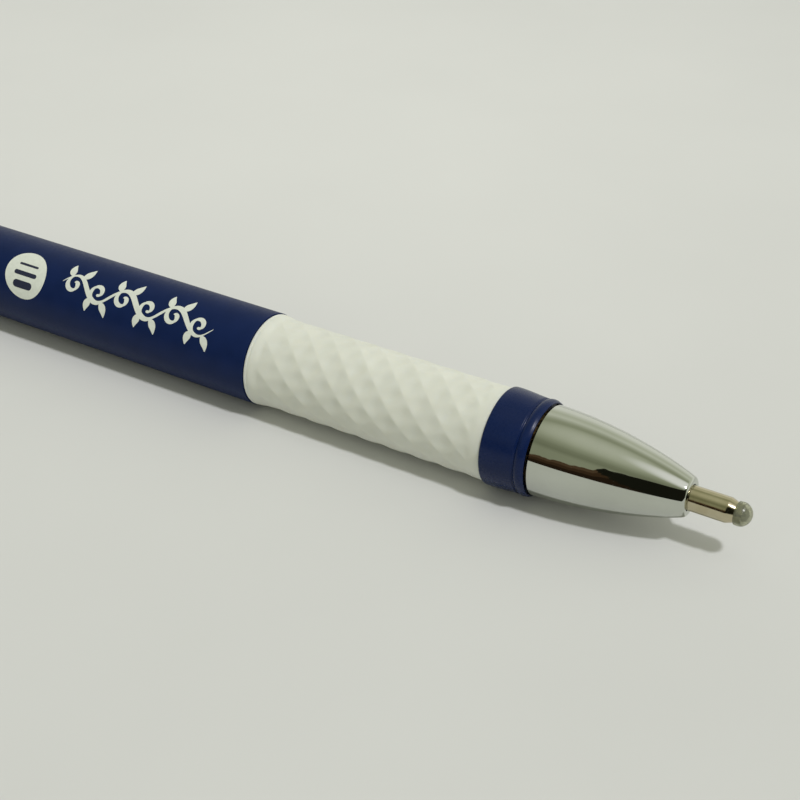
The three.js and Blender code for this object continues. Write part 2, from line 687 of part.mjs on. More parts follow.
// A line of points thickened to a strip of even thickness
function strip(points, thickness) {
  const side = (sign) =>
    points.map((point, i) => {
      const before = points[Math.max(0, i - 1)];
      const after = points[Math.min(points.length - 1, i + 1)];
      const into = point.clone().sub(before).normalize();
      const out = after.clone().sub(point).normalize();
      const along = into.add(out).normalize();
      const normal = new THREE.Vector2(-along.y, along.x);
      return point.clone().addScaledVector(normal, (sign * thickness) / 2);
    });
  return new THREE.Shape([...side(1), ...side(-1).reverse()]);
}

function clip() {
  const side = new THREE.ExtrudeGeometry(strip(clipSpine(), CLIP_THICKNESS), {
    depth: 2 * CLIP_WIDTH,
    bevelEnabled: false,
  })
    .translate(0, 0, -CLIP_WIDTH)
    .rotateX(Math.PI / 2);
  const end = CLIP_END_WIDTH / 2;
  const rear = CLIP_ROOT - CLIP_THICKNESS;
  const nose = arc(CLIP_ROOT + CLIP_LENGTH + CLIP_THICKNESS / 2 - end, 0, end, -90, 90, 8);
  const plan = new THREE.Shape(
    [[rear, -CLIP_WIDTH / 2], ...nose, [rear, CLIP_WIDTH / 2]].map(([x, y]) => new THREE.Vector2(x, y)),
  );
  const outline = new THREE.ExtrudeGeometry(plan, { depth: 3 * BARREL_RADIUS, bevelEnabled: false });
  return asGeometry(asSolid(side).intersect(asSolid(outline)));
}

// How far the clip, which points along +Z as made, leans below the level when its lowest edge meets
// the surface that the barrel lies on
function leanOf(geometry, axisHeight) {
  const points = geometry.getAttribute('position');
  let lean = Infinity;
  for (let i = 0; i < points.count; i += 1) {
    const across = points.getY(i);
    const out = points.getZ(i);
    const reach = Math.hypot(across, out);
    if (reach > axisHeight) {
      lean = Math.min(lean, Math.asin(axisHeight / reach) - Math.atan2(across, out));
    }
  }
  return lean;
}

function piece(name, geometry, finish) {
  const mesh = new THREE.Mesh(geometry, new THREE.MeshStandardMaterial(FINISHES[finish]));
  mesh.name = name;
  return mesh;
}

const shells = new THREE.Group();
shells.add(
  piece('nose_cone', noseCone(), 'chrome'),
  piece('collar_ring', collarRing(), 'navyGloss'),
  piece('grip_sleeve', gripSleeve(), 'white'),
  piece('barrel', barrel(), 'navy'),
  piece('front_bush', frontBush(), 'brass'),
  piece('tail_bush', tailBush(), 'brass'),
);

const refill = new THREE.Group();
refill.add(
  piece('refill_cap', refillCap(), 'natural'),
  piece('refill_tube', refillTube(), 'clear'),
  piece('ink_column', inkColumn(), 'ink'),
  piece('grease_follower', greaseFollower(), 'grease'),
  piece('tip_holder', tipHolder(), 'natural'),
  piece('tip_body', tipBody(), 'nickel'),
  piece('writing_ball', writingBall(), 'ball'),
  piece('sealing_drop', sealingDrop(), 'wax'),
);

const mechanism = new THREE.Group();
mechanism.add(
  piece('push_button', pushButton(), 'chrome'),
  piece('cam_plunger', camPlunger(), 'natural'),
  piece('rotor', rotor(), 'natural'),
  piece('cam_sleeve', camSleeve(), 'natural'),
  piece('return_spring', returnSpring(), 'steel'),
);

// The tail ring and the clip turn together until the clip's edge touches down
const clipGeometry = clip();
const restHeight = BARREL_RADIUS * Math.cos(Math.PI / OUTER_SIDES);
const tail = new THREE.Group();
tail.rotation.x = -Math.PI / 2 - leanOf(clipGeometry, restHeight);
tail.add(piece('tail_ring', tailRing(), 'chrome'), piece('clip', clipGeometry, 'chrome'));

const pen = new THREE.Group();
pen.add(shells, refill, mechanism, tail);

// The part's frame: the middle of the surface that the pen lies on
const box = new THREE.Box3().setFromObject(pen, true);
const middle = box.getCenter(new THREE.Vector3());
pen.position.set(-middle.x, -middle.y, -box.min.z);

const part = new THREE.Group();
part.add(pen);

export default part;
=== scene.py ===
# A retractable lettering pen with a thick ball tip: chrome nose, navy collar and barrel, white
# knurled grip, chrome clip and button. It lies on a pale floor, tip towards +X.
# Shapes are worked out in millimetres and written to the meshes in metres.
import json
import math

import bmesh
import bpy
from mathutils import Matrix, Vector

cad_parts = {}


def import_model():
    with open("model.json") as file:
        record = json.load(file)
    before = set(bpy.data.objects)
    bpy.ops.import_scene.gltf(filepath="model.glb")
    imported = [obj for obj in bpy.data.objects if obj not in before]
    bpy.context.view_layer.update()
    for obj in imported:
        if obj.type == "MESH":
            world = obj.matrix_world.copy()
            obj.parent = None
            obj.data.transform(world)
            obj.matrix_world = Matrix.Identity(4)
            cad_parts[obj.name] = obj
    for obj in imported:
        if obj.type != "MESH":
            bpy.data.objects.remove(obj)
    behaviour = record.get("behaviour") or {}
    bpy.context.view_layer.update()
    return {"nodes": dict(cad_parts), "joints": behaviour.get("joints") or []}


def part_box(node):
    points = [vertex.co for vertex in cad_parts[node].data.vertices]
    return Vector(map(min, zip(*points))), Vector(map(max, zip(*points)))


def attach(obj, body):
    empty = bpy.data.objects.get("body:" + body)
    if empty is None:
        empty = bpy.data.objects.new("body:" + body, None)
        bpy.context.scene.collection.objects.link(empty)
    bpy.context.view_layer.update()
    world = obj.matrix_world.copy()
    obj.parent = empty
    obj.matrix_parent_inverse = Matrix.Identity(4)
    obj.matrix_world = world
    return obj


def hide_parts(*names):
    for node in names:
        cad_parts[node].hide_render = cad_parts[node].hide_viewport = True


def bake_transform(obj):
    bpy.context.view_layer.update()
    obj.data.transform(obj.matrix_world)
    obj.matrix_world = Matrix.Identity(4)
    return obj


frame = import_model()
MM = 0.001


# The frame's places, in millimetres

def box_mm(node):
    low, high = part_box(node)
    return low / MM, high / MM


def span(node):
    """A node's rear and front station along the axis."""
    low, high = box_mm(node)
    return low.x, high.x


def radius_of(node):
    """The largest radius of a turned node that has an even number of sides."""
    low, high = box_mm(node)
    return (high.z - low.z) / 2


NOSE_LOW, NOSE_HIGH = box_mm("nose_cone")
AXIS_Y = (NOSE_LOW.y + NOSE_HIGH.y) / 2
AXIS_Z = (NOSE_LOW.z + NOSE_HIGH.z) / 2
NOSE_REAR, NOSE_FRONT = span("nose_cone")
COLLAR_REAR, COLLAR_FRONT = span("collar_ring")
GRIP_REAR, GRIP_FRONT = span("grip_sleeve")
BARREL_REAR, BARREL_FRONT = span("barrel")
RING_REAR, RING_FRONT = span("tail_ring")
BUTTON_REAR, BUTTON_FRONT = span("push_button")
TIP_REAR, TIP_FRONT = span("tip_body")
BALL_REAR, BALL_FRONT = span("writing_ball")
DROP_REAR, DROP_FRONT = span("sealing_drop")
SPRING_REAR, SPRING_FRONT = span("return_spring")
BUSH_FRONT = span("front_bush")[1]
TAIL_BUSH_FRONT = span("tail_bush")[1]
NOSE_RADIUS = radius_of("nose_cone")
GRIP_RADIUS = radius_of("grip_sleeve")
BARREL_RADIUS = radius_of("barrel")
DROP_RADIUS = radius_of("sealing_drop")
COIL_RADIUS = radius_of("return_spring")

CLIP_JOINT = next(j for j in frame["joints"] if j["name"] == "clip_flex")
CLIP_ROOT = CLIP_JOINT["pos_m"][0] / MM
CLIP_ROLL = math.degrees(math.atan2(-CLIP_JOINT["axis"][1], CLIP_JOINT["axis"][2]))

# Sizes that the frame's boxes don't give

# The nose: its outline falls from the base to the rim round the tip's hole
NOSE_RIM_RADIUS = 1.86
NOSE_RIM_ROUND = 0.45
NOSE_SLOPE_FROM = 0.5
NOSE_SLOPE_TO = 0.3
NOSE_FULLNESS = 1.85
NOSE_SQUARENESS = 0.92
NOSE_SWELL = 0.16
NOSE_SET_BACK = 0.16
NOSE_EDGE = 0.06
NOSE_WALL = 0.75
NOSE_LAND = 1.6
NOSE_BUSH_GAP = 0.3
NOSE_THREAD_CHAMFER = 0.2
THREAD_BORE = 3.5
TIP_BORE = 1.3
TIP_BORE_CHAMFER = 0.08

# The collar, from its rear edge to the lip round the nose
COLLAR_EDGE = 0.2
COLLAR_SHOULDER = 0.8
COLLAR_SHOULDER_END = 4.81
COLLAR_GROOVE = 4.68
COLLAR_GROOVE_BACK = 1.48
COLLAR_GROOVE_WIDTH = 0.34
COLLAR_LIP = 4.88
COLLAR_LIP_BACK = 1.0
COLLAR_LIP_FRONT = 4.72
COLLAR_LIP_CURVE = 2.6
COLLAR_LIP_EDGE = 0.06
COLLAR_LIP_WALL = 0.1
COLLAR_FACE_BACK = 0.38
COLLAR_RECESS = 0.45

# The barrel and its seat for the sleeve and the collar
BARREL_EDGE = 0.18
BARREL_SHOULDER_EDGE = 0.05
BARREL_BORE = 3.6
SEAT_RADIUS = 3.8
SEAT_CHAMFER = 0.2
SEAT_BORE = 3.15
SEAT_TAPER = 2.0
SLEEVED_BORE = 3.85
TAIL_COUNTERBORE = 4.25

# The grip sleeve's ends; its rear bead and groove are given as (station, drop) from the rim's corner
GRIP_OVERLAP = 0.2
GRIP_GAP = 0.09
GRIP_RIM_DROP = 0.07
GRIP_BEAD_ROUND = 0.1
GRIP_BEAD_LINE = [(0.2, 0.0), (0.27, 0.03), (0.33, 0.075), (0.4, 0.075), (0.47, 0.045)]
GRIP_FLARE = 1.2
GRIP_FLARE_START = 0.4
GRIP_FLARE_DROP = 0.04
GRIP_EDGE = 0.16

# The knurl of the grip: a strong set of ridges, and a faint rounded one that crosses it. One crossing
# lies KNURL_CROSSING in front of the sleeve's rear, at KNURL_CROSSING_ROLL round it
KNURL_PITCH = 3.15
KNURL_STARTS = 10
KNURL_DEPTH = 0.2
KNURL_FAINT = 0.82
KNURL_CREST = 0.12
KNURL_CROSSING = 2.755
KNURL_CROSSING_ROLL = -4.6
KNURL_REAR_PLAIN = 0.55
KNURL_REAR_FADE = 0.9
KNURL_REAR_DEPTH = 0.6
KNURL_REAR_RISE = 7.0
KNURL_FRONT_PLAIN = 0.9
KNURL_FRONT_FADE = 1.0
KNURL_STEPS = 20
KNURL_GRID_REAR = 0.35
KNURL_GRID_FRONT = 0.3

# The tail ring, the window in it for the clip's leg, and the button
RING_RADIUS = 4.9
RING_EDGE = 0.45
RING_FRONT_EDGE = 0.15
RING_LIP = 1.5
RING_MOUTH_CHAMFER = 0.12
RING_GROOVE_BACK = 0.75
RING_GROOVE_HALF = 0.3
RING_GROOVE_RISE = 0.1
RING_GROOVE_ROUND = 0.24
WINDOW_HALF_LENGTH = 0.6
WINDOW_HALF_WIDTH = 2.6
WINDOW_FLOOR = 3.65
WINDOW_TOP = 6.0
BUTTON_RADIUS = 3.28
BUTTON_GUIDE = 3.42
BUTTON_BORE = 2.9
BUTTON_ROUND = 0.9
BUTTON_DISH = 0.12
BUTTON_DISH_FLAT = 0.25
BUTTON_END_WALL = 0.8
BUTTON_FLANGE = 3.46
BUTTON_FLANGE_LENGTH = 1.0

SEGMENTS = 160
FINE_SEGMENTS = 256


# Shapes

def at(x, r, roll):
    """A point by its station, its radius and its roll from +Y towards +Z in degrees."""
    turn = math.radians(roll)
    return x, AXIS_Y + r * math.cos(turn), AXIS_Z + r * math.sin(turn)


def arc(x, r, radius, start, end, steps=8):
    """Points of an arc in the plane of (station, radius), angles in degrees from the axis."""
    turns = [math.radians(start + (end - start) * i / steps) for i in range(steps + 1)]
    return [(x + radius * math.cos(t), r + radius * math.sin(t)) for t in turns]


def graph(height, start, end, steps):
    """Points of height(x) between two stations."""
    stations = [start + (end - start) * i / steps for i in range(steps + 1)]
    return [(x, height(x)) for x in stations]


def ease(share):
    """0 below 0, 1 above 1 and smooth between."""
    share = min(1.0, max(0.0, share))
    return share * share * (3 - 2 * share)


def add_piece(name, points, faces, material, body, slot=None, nodes=(), sharp=35):
    """A closed mesh from points in millimetres that rides on a body and stands for CAD nodes."""
    mesh = bpy.data.meshes.new(name)
    mesh.from_pydata([Vector(p) * MM for p in points], [], faces)
    shape = bmesh.new()
    shape.from_mesh(mesh)
    bmesh.ops.recalc_face_normals(shape, faces=shape.faces)
    shape.to_mesh(mesh)
    shape.free()
    mesh.shade_smooth()
    mesh.set_sharp_from_angle(angle=math.radians(sharp))
    mesh.materials.append(material)
    piece = bpy.data.objects.new(name, mesh)
    bpy.context.collection.objects.link(piece)
    if body:
        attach(piece, body)
    if nodes:
        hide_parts(*nodes)
    return piece


def tube_faces(rings, around):
    """The faces of a tube whose points come ring by ring, with a cap at each end."""
    faces = []
    for j in range(rings - 1):
        for i in range(around):
            a, b = j * around + i, j * around + (i + 1) % around
            faces.append((a, b, b + around, a + around))
    last = (rings - 1) * around
    return faces + [tuple(range(around)), tuple(last + i for i in range(around))]


def turned(name, outline, *args, segments=SEGMENTS, **options):
    """A piece of revolution from (station, radius) points that close on themselves or the axis."""
    points = []
    rings = []
    for x, r in outline:
        count = 1 if r < 1e-6 else segments
        rings.append((len(points), count))
        points += [at(x, r, 360 * i / segments) for i in range(count)]
    faces = []
    for (a, na), (b, nb) in zip(rings, rings[1:] + rings[:1]):
        for i in range(segments):
            j = (i + 1) % segments
            corners = [a + i % na, a + j % na, b + j % nb, b + i % nb]
            corners = list(dict.fromkeys(corners))
            if len(corners) > 2:
                faces.append(corners)
    return add_piece(name, points, faces, *args, **options)


# Materials

# A noise mostly lies between these two levels
NOISE_LOW = 0.35
NOISE_HIGH = 0.65


def shader_of(made):
    return made.node_tree.nodes["Principled BSDF"]


def material(name, color, roughness, metallic=0.0, **sockets):
    """A material whose plain values sit on its shader's own sockets."""
    made = bpy.data.materials.new(name)
    made.use_nodes = True
    shader = shader_of(made)
    shader.inputs["Base Color"].default_value = (*color, 1)
    shader.inputs["Roughness"].default_value = roughness
    shader.inputs["Metallic"].default_value = metallic
    for socket, value in sockets.items():
        shader.inputs[socket.replace("_", " ")].default_value = value
    return made


def noise(made, scale, detail=3.0, stretch=(1, 1, 1)):
    """A noise over the object's own space; scale is in cells per metre."""
    nodes, links = made.node_tree.nodes, made.node_tree.links
    place = nodes.new("ShaderNodeTexCoord")
    mapping = nodes.new("ShaderNodeMapping")
    mapping.inputs["Scale"].default_value = stretch
    texture = nodes.new("ShaderNodeTexNoise")
    texture.inputs["Scale"].default_value = scale
    texture.inputs["Detail"].default_value = detail
    links.new(place.outputs["Object"], mapping.inputs["Vector"])
    links.new(mapping.outputs["Vector"], texture.inputs["Vector"])
    return texture.outputs["Fac"]


def ramp(made, source, stops):
    """Colours or greys along a value, as (place, colour) stops."""
    node = made.node_tree.nodes.new("ShaderNodeValToRGB")
    band = node.color_ramp
    while len(band.elements) < len(stops):
        band.elements.new(0.5)
    for element, (place, color) in zip(band.elements, stops):
        element.position = place
        element.color = (*color, 1)
    made.node_tree.links.new(source, node.inputs["Fac"])
    return node.outputs["Color"]


def soft_step(made, source, start, end):
    """0 below the start, 1 above the end and smooth between."""
    node = made.node_tree.nodes.new("ShaderNodeMapRange")
    node.interpolation_type = "SMOOTHSTEP"
    node.inputs["From Min"].default_value = start
    node.inputs["From Max"].default_value = end
    made.node_tree.links.new(source, node.inputs["Value"])
    return node.outputs["Result"]


def mixed(made, share, first, second):
    """A mix from one colour to another, which is a socket or a plain colour."""
    node = made.node_tree.nodes.new("ShaderNodeMix")
    node.data_type = "RGBA"
    factor = next(i for i in node.inputs if i.identifier == "Factor_Float")
    start = next(i for i in node.inputs if i.identifier == "A_Color")
    end = next(i for i in node.inputs if i.identifier == "B_Color")
    made.node_tree.links.new(share, factor)
    made.node_tree.links.new(first, start)
    if isinstance(second, tuple):
        end.default_value = (*second, 1)
    else:
        made.node_tree.links.new(second, end)
    return next(o for o in node.outputs if o.identifier == "Result_Color")


def vary_color(made, scale, dark, light):
    """The colour changes with a noise, from dark to light."""
    color = ramp(made, noise(made, scale), [(NOISE_LOW, dark), (NOISE_HIGH, light)])
    made.node_tree.links.new(color, shader_of(made).inputs["Base Color"])


def vary_roughness(made, scale, smooth, rough):
    """The roughness changes with a noise."""
    grey = ramp(made, noise(made, scale), [(NOISE_LOW, (smooth,) * 3), (NOISE_HIGH, (rough,) * 3)])
    made.node_tree.links.new(grey, shader_of(made).inputs["Roughness"])


def bump(made, source, depth_mm):
    """Relief of the given depth."""
    relief = made.node_tree.nodes.new("ShaderNodeBump")
    relief.inputs["Distance"].default_value = depth_mm * MM
    relief.inputs["Strength"].default_value = 1.0
    made.node_tree.links.new(source, relief.inputs["Height"])
    made.node_tree.links.new(relief.outputs["Normal"], shader_of(made).inputs["Normal"])


def turning_marks(made, scale, depth_mm):
    """Fine rings that a lathe leaves round the axis."""
    bump(made, noise(made, scale, 2.0, stretch=(1, 0.02, 0.02)), depth_mm)


def chrome(name):
    made = material(name, (0.54, 0.56, 0.505), 0.04, metallic=1.0)
    vary_roughness(made, 900, 0.025, 0.055)
    vary_color(made, 250, (0.525, 0.545, 0.490), (0.555, 0.575, 0.520))
    bump(made, noise(made, 260, 2.0), 0.004)
    return made


def barrel_navy():
    made = material("barrel_navy", (0.0030, 0.0122, 0.060), 0.42, Specular_IOR_Level=0.14)
    vary_color(made, 500, (0.0026, 0.0114, 0.057), (0.0035, 0.0131, 0.064))
    vary_roughness(made, 2600, 0.38, 0.46)
    bump(made, noise(made, 9000, 2.0), 0.0012)
    return made


def collar_navy():
    made = material("collar_navy", (0.0034, 0.0120, 0.059), 0.28, Specular_IOR_Level=0.2)
    vary_color(made, 420, (0.0030, 0.0111, 0.055), (0.0040, 0.0130, 0.063))
    vary_roughness(made, 3200, 0.24, 0.33)
    bump(made, noise(made, 7000, 2.0), 0.0010)
    return made


def grip_white():
    made = material("grip_white", (0.645, 0.652, 0.588), 0.62, Subsurface_Weight=0.5)
    shader_of(made).inputs["Subsurface Radius"].default_value = (1.0, 0.9, 0.7)
    shader_of(made).inputs["Subsurface Scale"].default_value = MM
    vary_color(made, 380, (0.631, 0.638, 0.574), (0.659, 0.666, 0.602))
    vary_roughness(made, 3000, 0.56, 0.7)
    bump(made, noise(made, 5500, 3.0), 0.006)
    return made


def nickel():
    made = material("tip_nickel", (0.50, 0.45, 0.31), 0.12, metallic=1.0)
    vary_color(made, 900, (0.48, 0.43, 0.29), (0.53, 0.48, 0.34))
    vary_roughness(made, 2500, 0.07, 0.16)
    turning_marks(made, 12000, 0.0008)
    return made


def sealing_wax():
    made = material("seal_wax", (0.48, 0.49, 0.36), 0.22, Transmission_Weight=0.8, IOR=1.36)
    vary_color(made, 1500, (0.43, 0.44, 0.31), (0.53, 0.54, 0.41))
    bump(made, noise(made, 1800, 2.0), 0.015)
    return made


def brass():
    made = material("brass", (0.60, 0.42, 0.16), 0.3, metallic=1.0)
    vary_color(made, 700, (0.52, 0.36, 0.13), (0.64, 0.46, 0.19))
    vary_roughness(made, 2500, 0.22, 0.38)
    turning_marks(made, 9000, 0.002)
    return made


def steel(name, color, roughness):
    made = material(name, color, roughness, metallic=1.0)
    vary_color(made, 900, tuple(0.9 * c for c in color), color)
    vary_roughness(made, 3000, roughness * 0.7, roughness * 1.3)
    bump(made, noise(made, 6000, 2.0), 0.001)
    return made


def moulded(name, dark, light, roughness, **sockets):
    made = material(name, light, roughness, **sockets)
    vary_color(made, 450, dark, light)
    vary_roughness(made, 2500, roughness * 0.8, roughness * 1.2)
    bump(made, noise(made, 5000, 2.0), 0.002)
    return made


def print_ink(name, color):
    made = material(name, color, 0.5)
    vary_color(made, 2500, tuple(0.93 * c for c in color), color)
    vary_roughness(made, 4000, 0.42, 0.58)
    bump(made, noise(made, 8000, 2.0), 0.001)
    return made


NOSE_CHROME = chrome("nose_chrome")
TAIL_CHROME = chrome("tail_chrome")
CLIP_CHROME = chrome("clip_chrome")
BUTTON_CHROME = chrome("button_chrome")
NAVY = barrel_navy()
NAVY_GLOSS = collar_navy()
WHITE = grip_white()
NICKEL = nickel()
WAX = sealing_wax()
BRASS = brass()
WIRE = steel("spring_steel", (0.42, 0.42, 0.40), 0.25)
CARBIDE = steel("ball_steel", (0.30, 0.30, 0.31), 0.15)
ACETAL = moulded("cam_plastic", (0.66, 0.65, 0.60), (0.72, 0.71, 0.66), 0.45)
NATURAL = moulded("refill_plastic", (0.64, 0.63, 0.58), (0.72, 0.71, 0.66), 0.35)
CLEAR = moulded("refill_tube", (0.78, 0.80, 0.80), (0.86, 0.88, 0.88), 0.25, Transmission_Weight=0.8)
INK = moulded("ink", (0.004, 0.005, 0.009), (0.008, 0.010, 0.016), 0.12)
GREASE = moulded("grease", (0.55, 0.45, 0.18), (0.66, 0.56, 0.26), 0.2, Transmission_Weight=0.5)
PRINT_WHITE = print_ink("print_white", (0.66, 0.69, 0.62))
PRINT_NAVY = print_ink("print_navy", (0.012, 0.016, 0.045))


# The shells

def nose_radius(x):
    """The nose's outline, full at the base and falling faster towards the rim."""
    share = min(1.0, max(0.0, (x - NOSE_REAR) / (NOSE_FRONT - NOSE_REAR)))
    fall = (1 - share ** NOSE_FULLNESS) ** NOSE_SQUARENESS
    return NOSE_RIM_RADIUS + (NOSE_RADIUS + NOSE_SWELL - NOSE_RIM_RADIUS) * fall


def nose_cone():
    """The bullet: full at the base, a small rounded rim at the hole, a stepped bore inside."""
    behind = NOSE_FRONT - NOSE_SLOPE_FROM
    before = NOSE_FRONT - NOSE_SLOPE_TO
    slope = math.atan((nose_radius(behind) - nose_radius(before)) / (before - behind))
    rim_start = NOSE_FRONT - NOSE_RIM_ROUND * (1 - math.sin(slope))
    steps = 90
    rear_edge = NOSE_REAR - NOSE_SET_BACK
    outside = []
    for i in range(steps + 1):
        share = math.sin(math.pi / 2 * i / steps)
        x = rear_edge + NOSE_EDGE + (rim_start - rear_edge - NOSE_EDGE) * share
        outside.append((x, nose_radius(x)))
    base = [(rear_edge, nose_radius(rear_edge) - NOSE_EDGE)]
    rim_height = outside[-1][1] - NOSE_RIM_ROUND * math.cos(slope)
    rim_angle = 90 - math.degrees(slope)
    rim = arc(NOSE_FRONT - NOSE_RIM_ROUND, rim_height, NOSE_RIM_ROUND, rim_angle, 0, 14)[1:]
    cavity = BUSH_FRONT + NOSE_BUSH_GAP
    land_rear = NOSE_FRONT - NOSE_LAND
    hole = [
        (NOSE_FRONT, TIP_BORE + TIP_BORE_CHAMFER),
        (NOSE_FRONT - TIP_BORE_CHAMFER, TIP_BORE),
        (land_rear, TIP_BORE),
    ]
    bore = graph(lambda x: min(THREAD_BORE, nose_radius(x) - NOSE_WALL), land_rear, cavity, 30)
    rear = [
        (rear_edge + NOSE_THREAD_CHAMFER, THREAD_BORE),
        (rear_edge, THREAD_BORE + NOSE_THREAD_CHAMFER),
    ]
    outline = base + outside + rim + hole + bore + rear
    turned("nose_cone_shell", outline, NOSE_CHROME, "nose", "nose_chrome", ["nose_cone"],
           segments=FINE_SEGMENTS)


def collar_ring():
    """The ring: flush with the barrel, a falling shoulder, a groove and a thin lip round the nose."""
    radius = BARREL_RADIUS
    shoulder = COLLAR_REAR + COLLAR_SHOULDER
    groove = COLLAR_FRONT - COLLAR_GROOVE_BACK
    groove_start = groove - COLLAR_GROOVE_WIDTH / 2
    crest = COLLAR_FRONT - COLLAR_LIP_BACK
    face = COLLAR_FRONT - COLLAR_FACE_BACK
    edge = COLLAR_LIP_EDGE

    def shoulder_line(x):
        share = (x - shoulder) / (groove_start - shoulder)
        return radius - (radius - COLLAR_SHOULDER_END) * (0.5 * share + 0.5 * ease(share))

    def groove_wall(x):
        share = (x - groove_start) / (groove - groove_start)
        return COLLAR_SHOULDER_END - (COLLAR_SHOULDER_END - COLLAR_GROOVE) * ease(share)

    def lip_rise(x):
        share = (x - groove) / (crest - groove)
        return COLLAR_GROOVE + (COLLAR_LIP - COLLAR_GROOVE) * math.sin(math.pi / 2 * share)

    def lip_slope(x):
        share = (x - crest) / (face - edge - crest)
        return COLLAR_LIP - (COLLAR_LIP - COLLAR_LIP_FRONT) * share ** COLLAR_LIP_CURVE

    outline = [(COLLAR_REAR, SLEEVED_BORE)]
    outline += arc(COLLAR_REAR + COLLAR_EDGE, radius - COLLAR_EDGE, COLLAR_EDGE, 180, 90, 12)
    outline += graph(shoulder_line, shoulder, groove_start, 20)
    outline += graph(groove_wall, groove_start, groove, 6)[1:]
    outline += graph(lip_rise, groove, crest, 12)[1:]
    outline += graph(lip_slope, crest, face - edge, 10)[1:]
    outline += arc(face - edge, COLLAR_LIP_FRONT - edge, edge, 70, 0, 5)
    inside = COLLAR_LIP_FRONT - COLLAR_LIP_WALL
    floor = face - COLLAR_RECESS
    outline += [(face, inside), (floor, inside), (floor, SLEEVED_BORE)]
    turned("collar_ring_shell", outline, NAVY_GLOSS, "collar", "collar_navy", ["collar_ring"],
           segments=FINE_SEGMENTS, sharp=50)


def knurl_height(x, roll, radius):
    """The sleeve's radius: ridges that cross, shallower behind and plain at the ends."""
    along = (x - GRIP_REAR - KNURL_CROSSING) / KNURL_PITCH
    around = (roll - KNURL_CROSSING_ROLL) * KNURL_STARTS / 360
    strong = math.hypot(math.sin(math.pi * (along - around)), KNURL_CREST) - KNURL_CREST
    faint = 1 - KNURL_FAINT * math.cos(math.pi * (along + around)) ** 2
    fade = ease((x - GRIP_REAR - KNURL_REAR_PLAIN) / KNURL_REAR_FADE)
    fade *= ease((GRIP_FRONT - KNURL_FRONT_PLAIN - x) / KNURL_FRONT_FADE)
    fade *= KNURL_REAR_DEPTH + (1 - KNURL_REAR_DEPTH) * ease((x - GRIP_REAR) / KNURL_REAR_RISE)
    return radius - KNURL_DEPTH * fade * strong * faint


def grip_sleeve():
    """The sleeve, on a grid of squares that the ridges cross corner to corner."""
    radius = GRIP_RADIUS
    rim = BARREL_RADIUS - GRIP_RIM_DROP
    columns = KNURL_STARTS * KNURL_STEPS
    step = KNURL_PITCH / KNURL_STEPS
    first = math.ceil((KNURL_GRID_REAR - KNURL_CROSSING) / step)
    last = math.floor((GRIP_FRONT - GRIP_REAR - KNURL_GRID_FRONT - KNURL_CROSSING) / step)
    rear = GRIP_REAR - GRIP_OVERLAP
    bead = arc(rear + GRIP_BEAD_ROUND, rim - GRIP_BEAD_ROUND, GRIP_BEAD_ROUND, 180, 90, 5)
    bead += [(rear + x, rim - drop) for x, drop in GRIP_BEAD_LINE]
    rows = [[point] * columns for point in [(rear, SLEEVED_BORE)] + bead]
    grid_start = len(rows)
    for k in range(first, last + 1):
        x = GRIP_REAR + KNURL_CROSSING + k * step
        fall = 1 - ease((x - rear - GRIP_FLARE_START) / GRIP_FLARE)
        flare = (rim - GRIP_FLARE_DROP - radius) * fall
        row = []
        for i in range(columns):
            roll = KNURL_CROSSING_ROLL + 360 * i / columns
            row.append((x, knurl_height(x, roll, radius) + flare))
        rows.append(row)
    grid_end = len(rows) - 1
    edge = arc(GRIP_FRONT - GRIP_EDGE, radius - GRIP_EDGE, GRIP_EDGE, 90, 0, 5)
    rows += [[point] * columns for point in edge + [(GRIP_FRONT, SLEEVED_BORE)]]
    points = []
    for row in rows:
        for i, (x, r) in enumerate(row):
            points.append(at(x, r, KNURL_CROSSING_ROLL + 360 * i / columns))
    faces = []
    count = len(rows)
    for j in range(count):
        k = first + j - grid_start
        this_row = j * columns
        next_row = (j + 1) % count * columns
        for i in range(columns):
            beside = (i + 1) % columns
            a, b = this_row + i, this_row + beside
            c, d = next_row + beside, next_row + i
            in_grid = grid_start <= j < grid_end
            if in_grid and (k - i) % KNURL_STEPS == 0:
                faces += [(a, b, c), (a, c, d)]
            elif in_grid and (k + i + 1) % KNURL_STEPS == 0:
                faces += [(a, b, d), (b, c, d)]
            else:
                faces.append((a, b, c, d))
    add_piece("grip_sleeve_knurled", points, faces, WHITE, "case", "grip_white",
              ["grip_sleeve"], sharp=60)


def barrel():
    """The tube with its reduced seat for the grip, its bore and the rear counterbore."""
    radius = BARREL_RADIUS
    outline = [(BARREL_REAR, TAIL_COUNTERBORE)]
    outline += arc(BARREL_REAR + BARREL_EDGE, radius - BARREL_EDGE, BARREL_EDGE, 180, 90)
    shoulder = GRIP_REAR - GRIP_OVERLAP - GRIP_GAP
    edge = BARREL_SHOULDER_EDGE
    outline += arc(shoulder - edge, radius - edge, edge, 90, 0, 4)
    outline += [
        (shoulder, SEAT_RADIUS),
        (BARREL_FRONT - SEAT_CHAMFER, SEAT_RADIUS),
        (BARREL_FRONT, SEAT_RADIUS - SEAT_CHAMFER),
        (BARREL_FRONT, SEAT_BORE),
        (GRIP_REAR - SEAT_TAPER, SEAT_BORE),
        (GRIP_REAR - 2 * SEAT_TAPER, BARREL_BORE),
        (TAIL_BUSH_FRONT, BARREL_BORE),
        (TAIL_BUSH_FRONT, TAIL_COUNTERBORE),
    ]
    turned("barrel_shell", outline, NAVY, "case", "barrel_navy", ["barrel"], segments=FINE_SEGMENTS)


# The tail

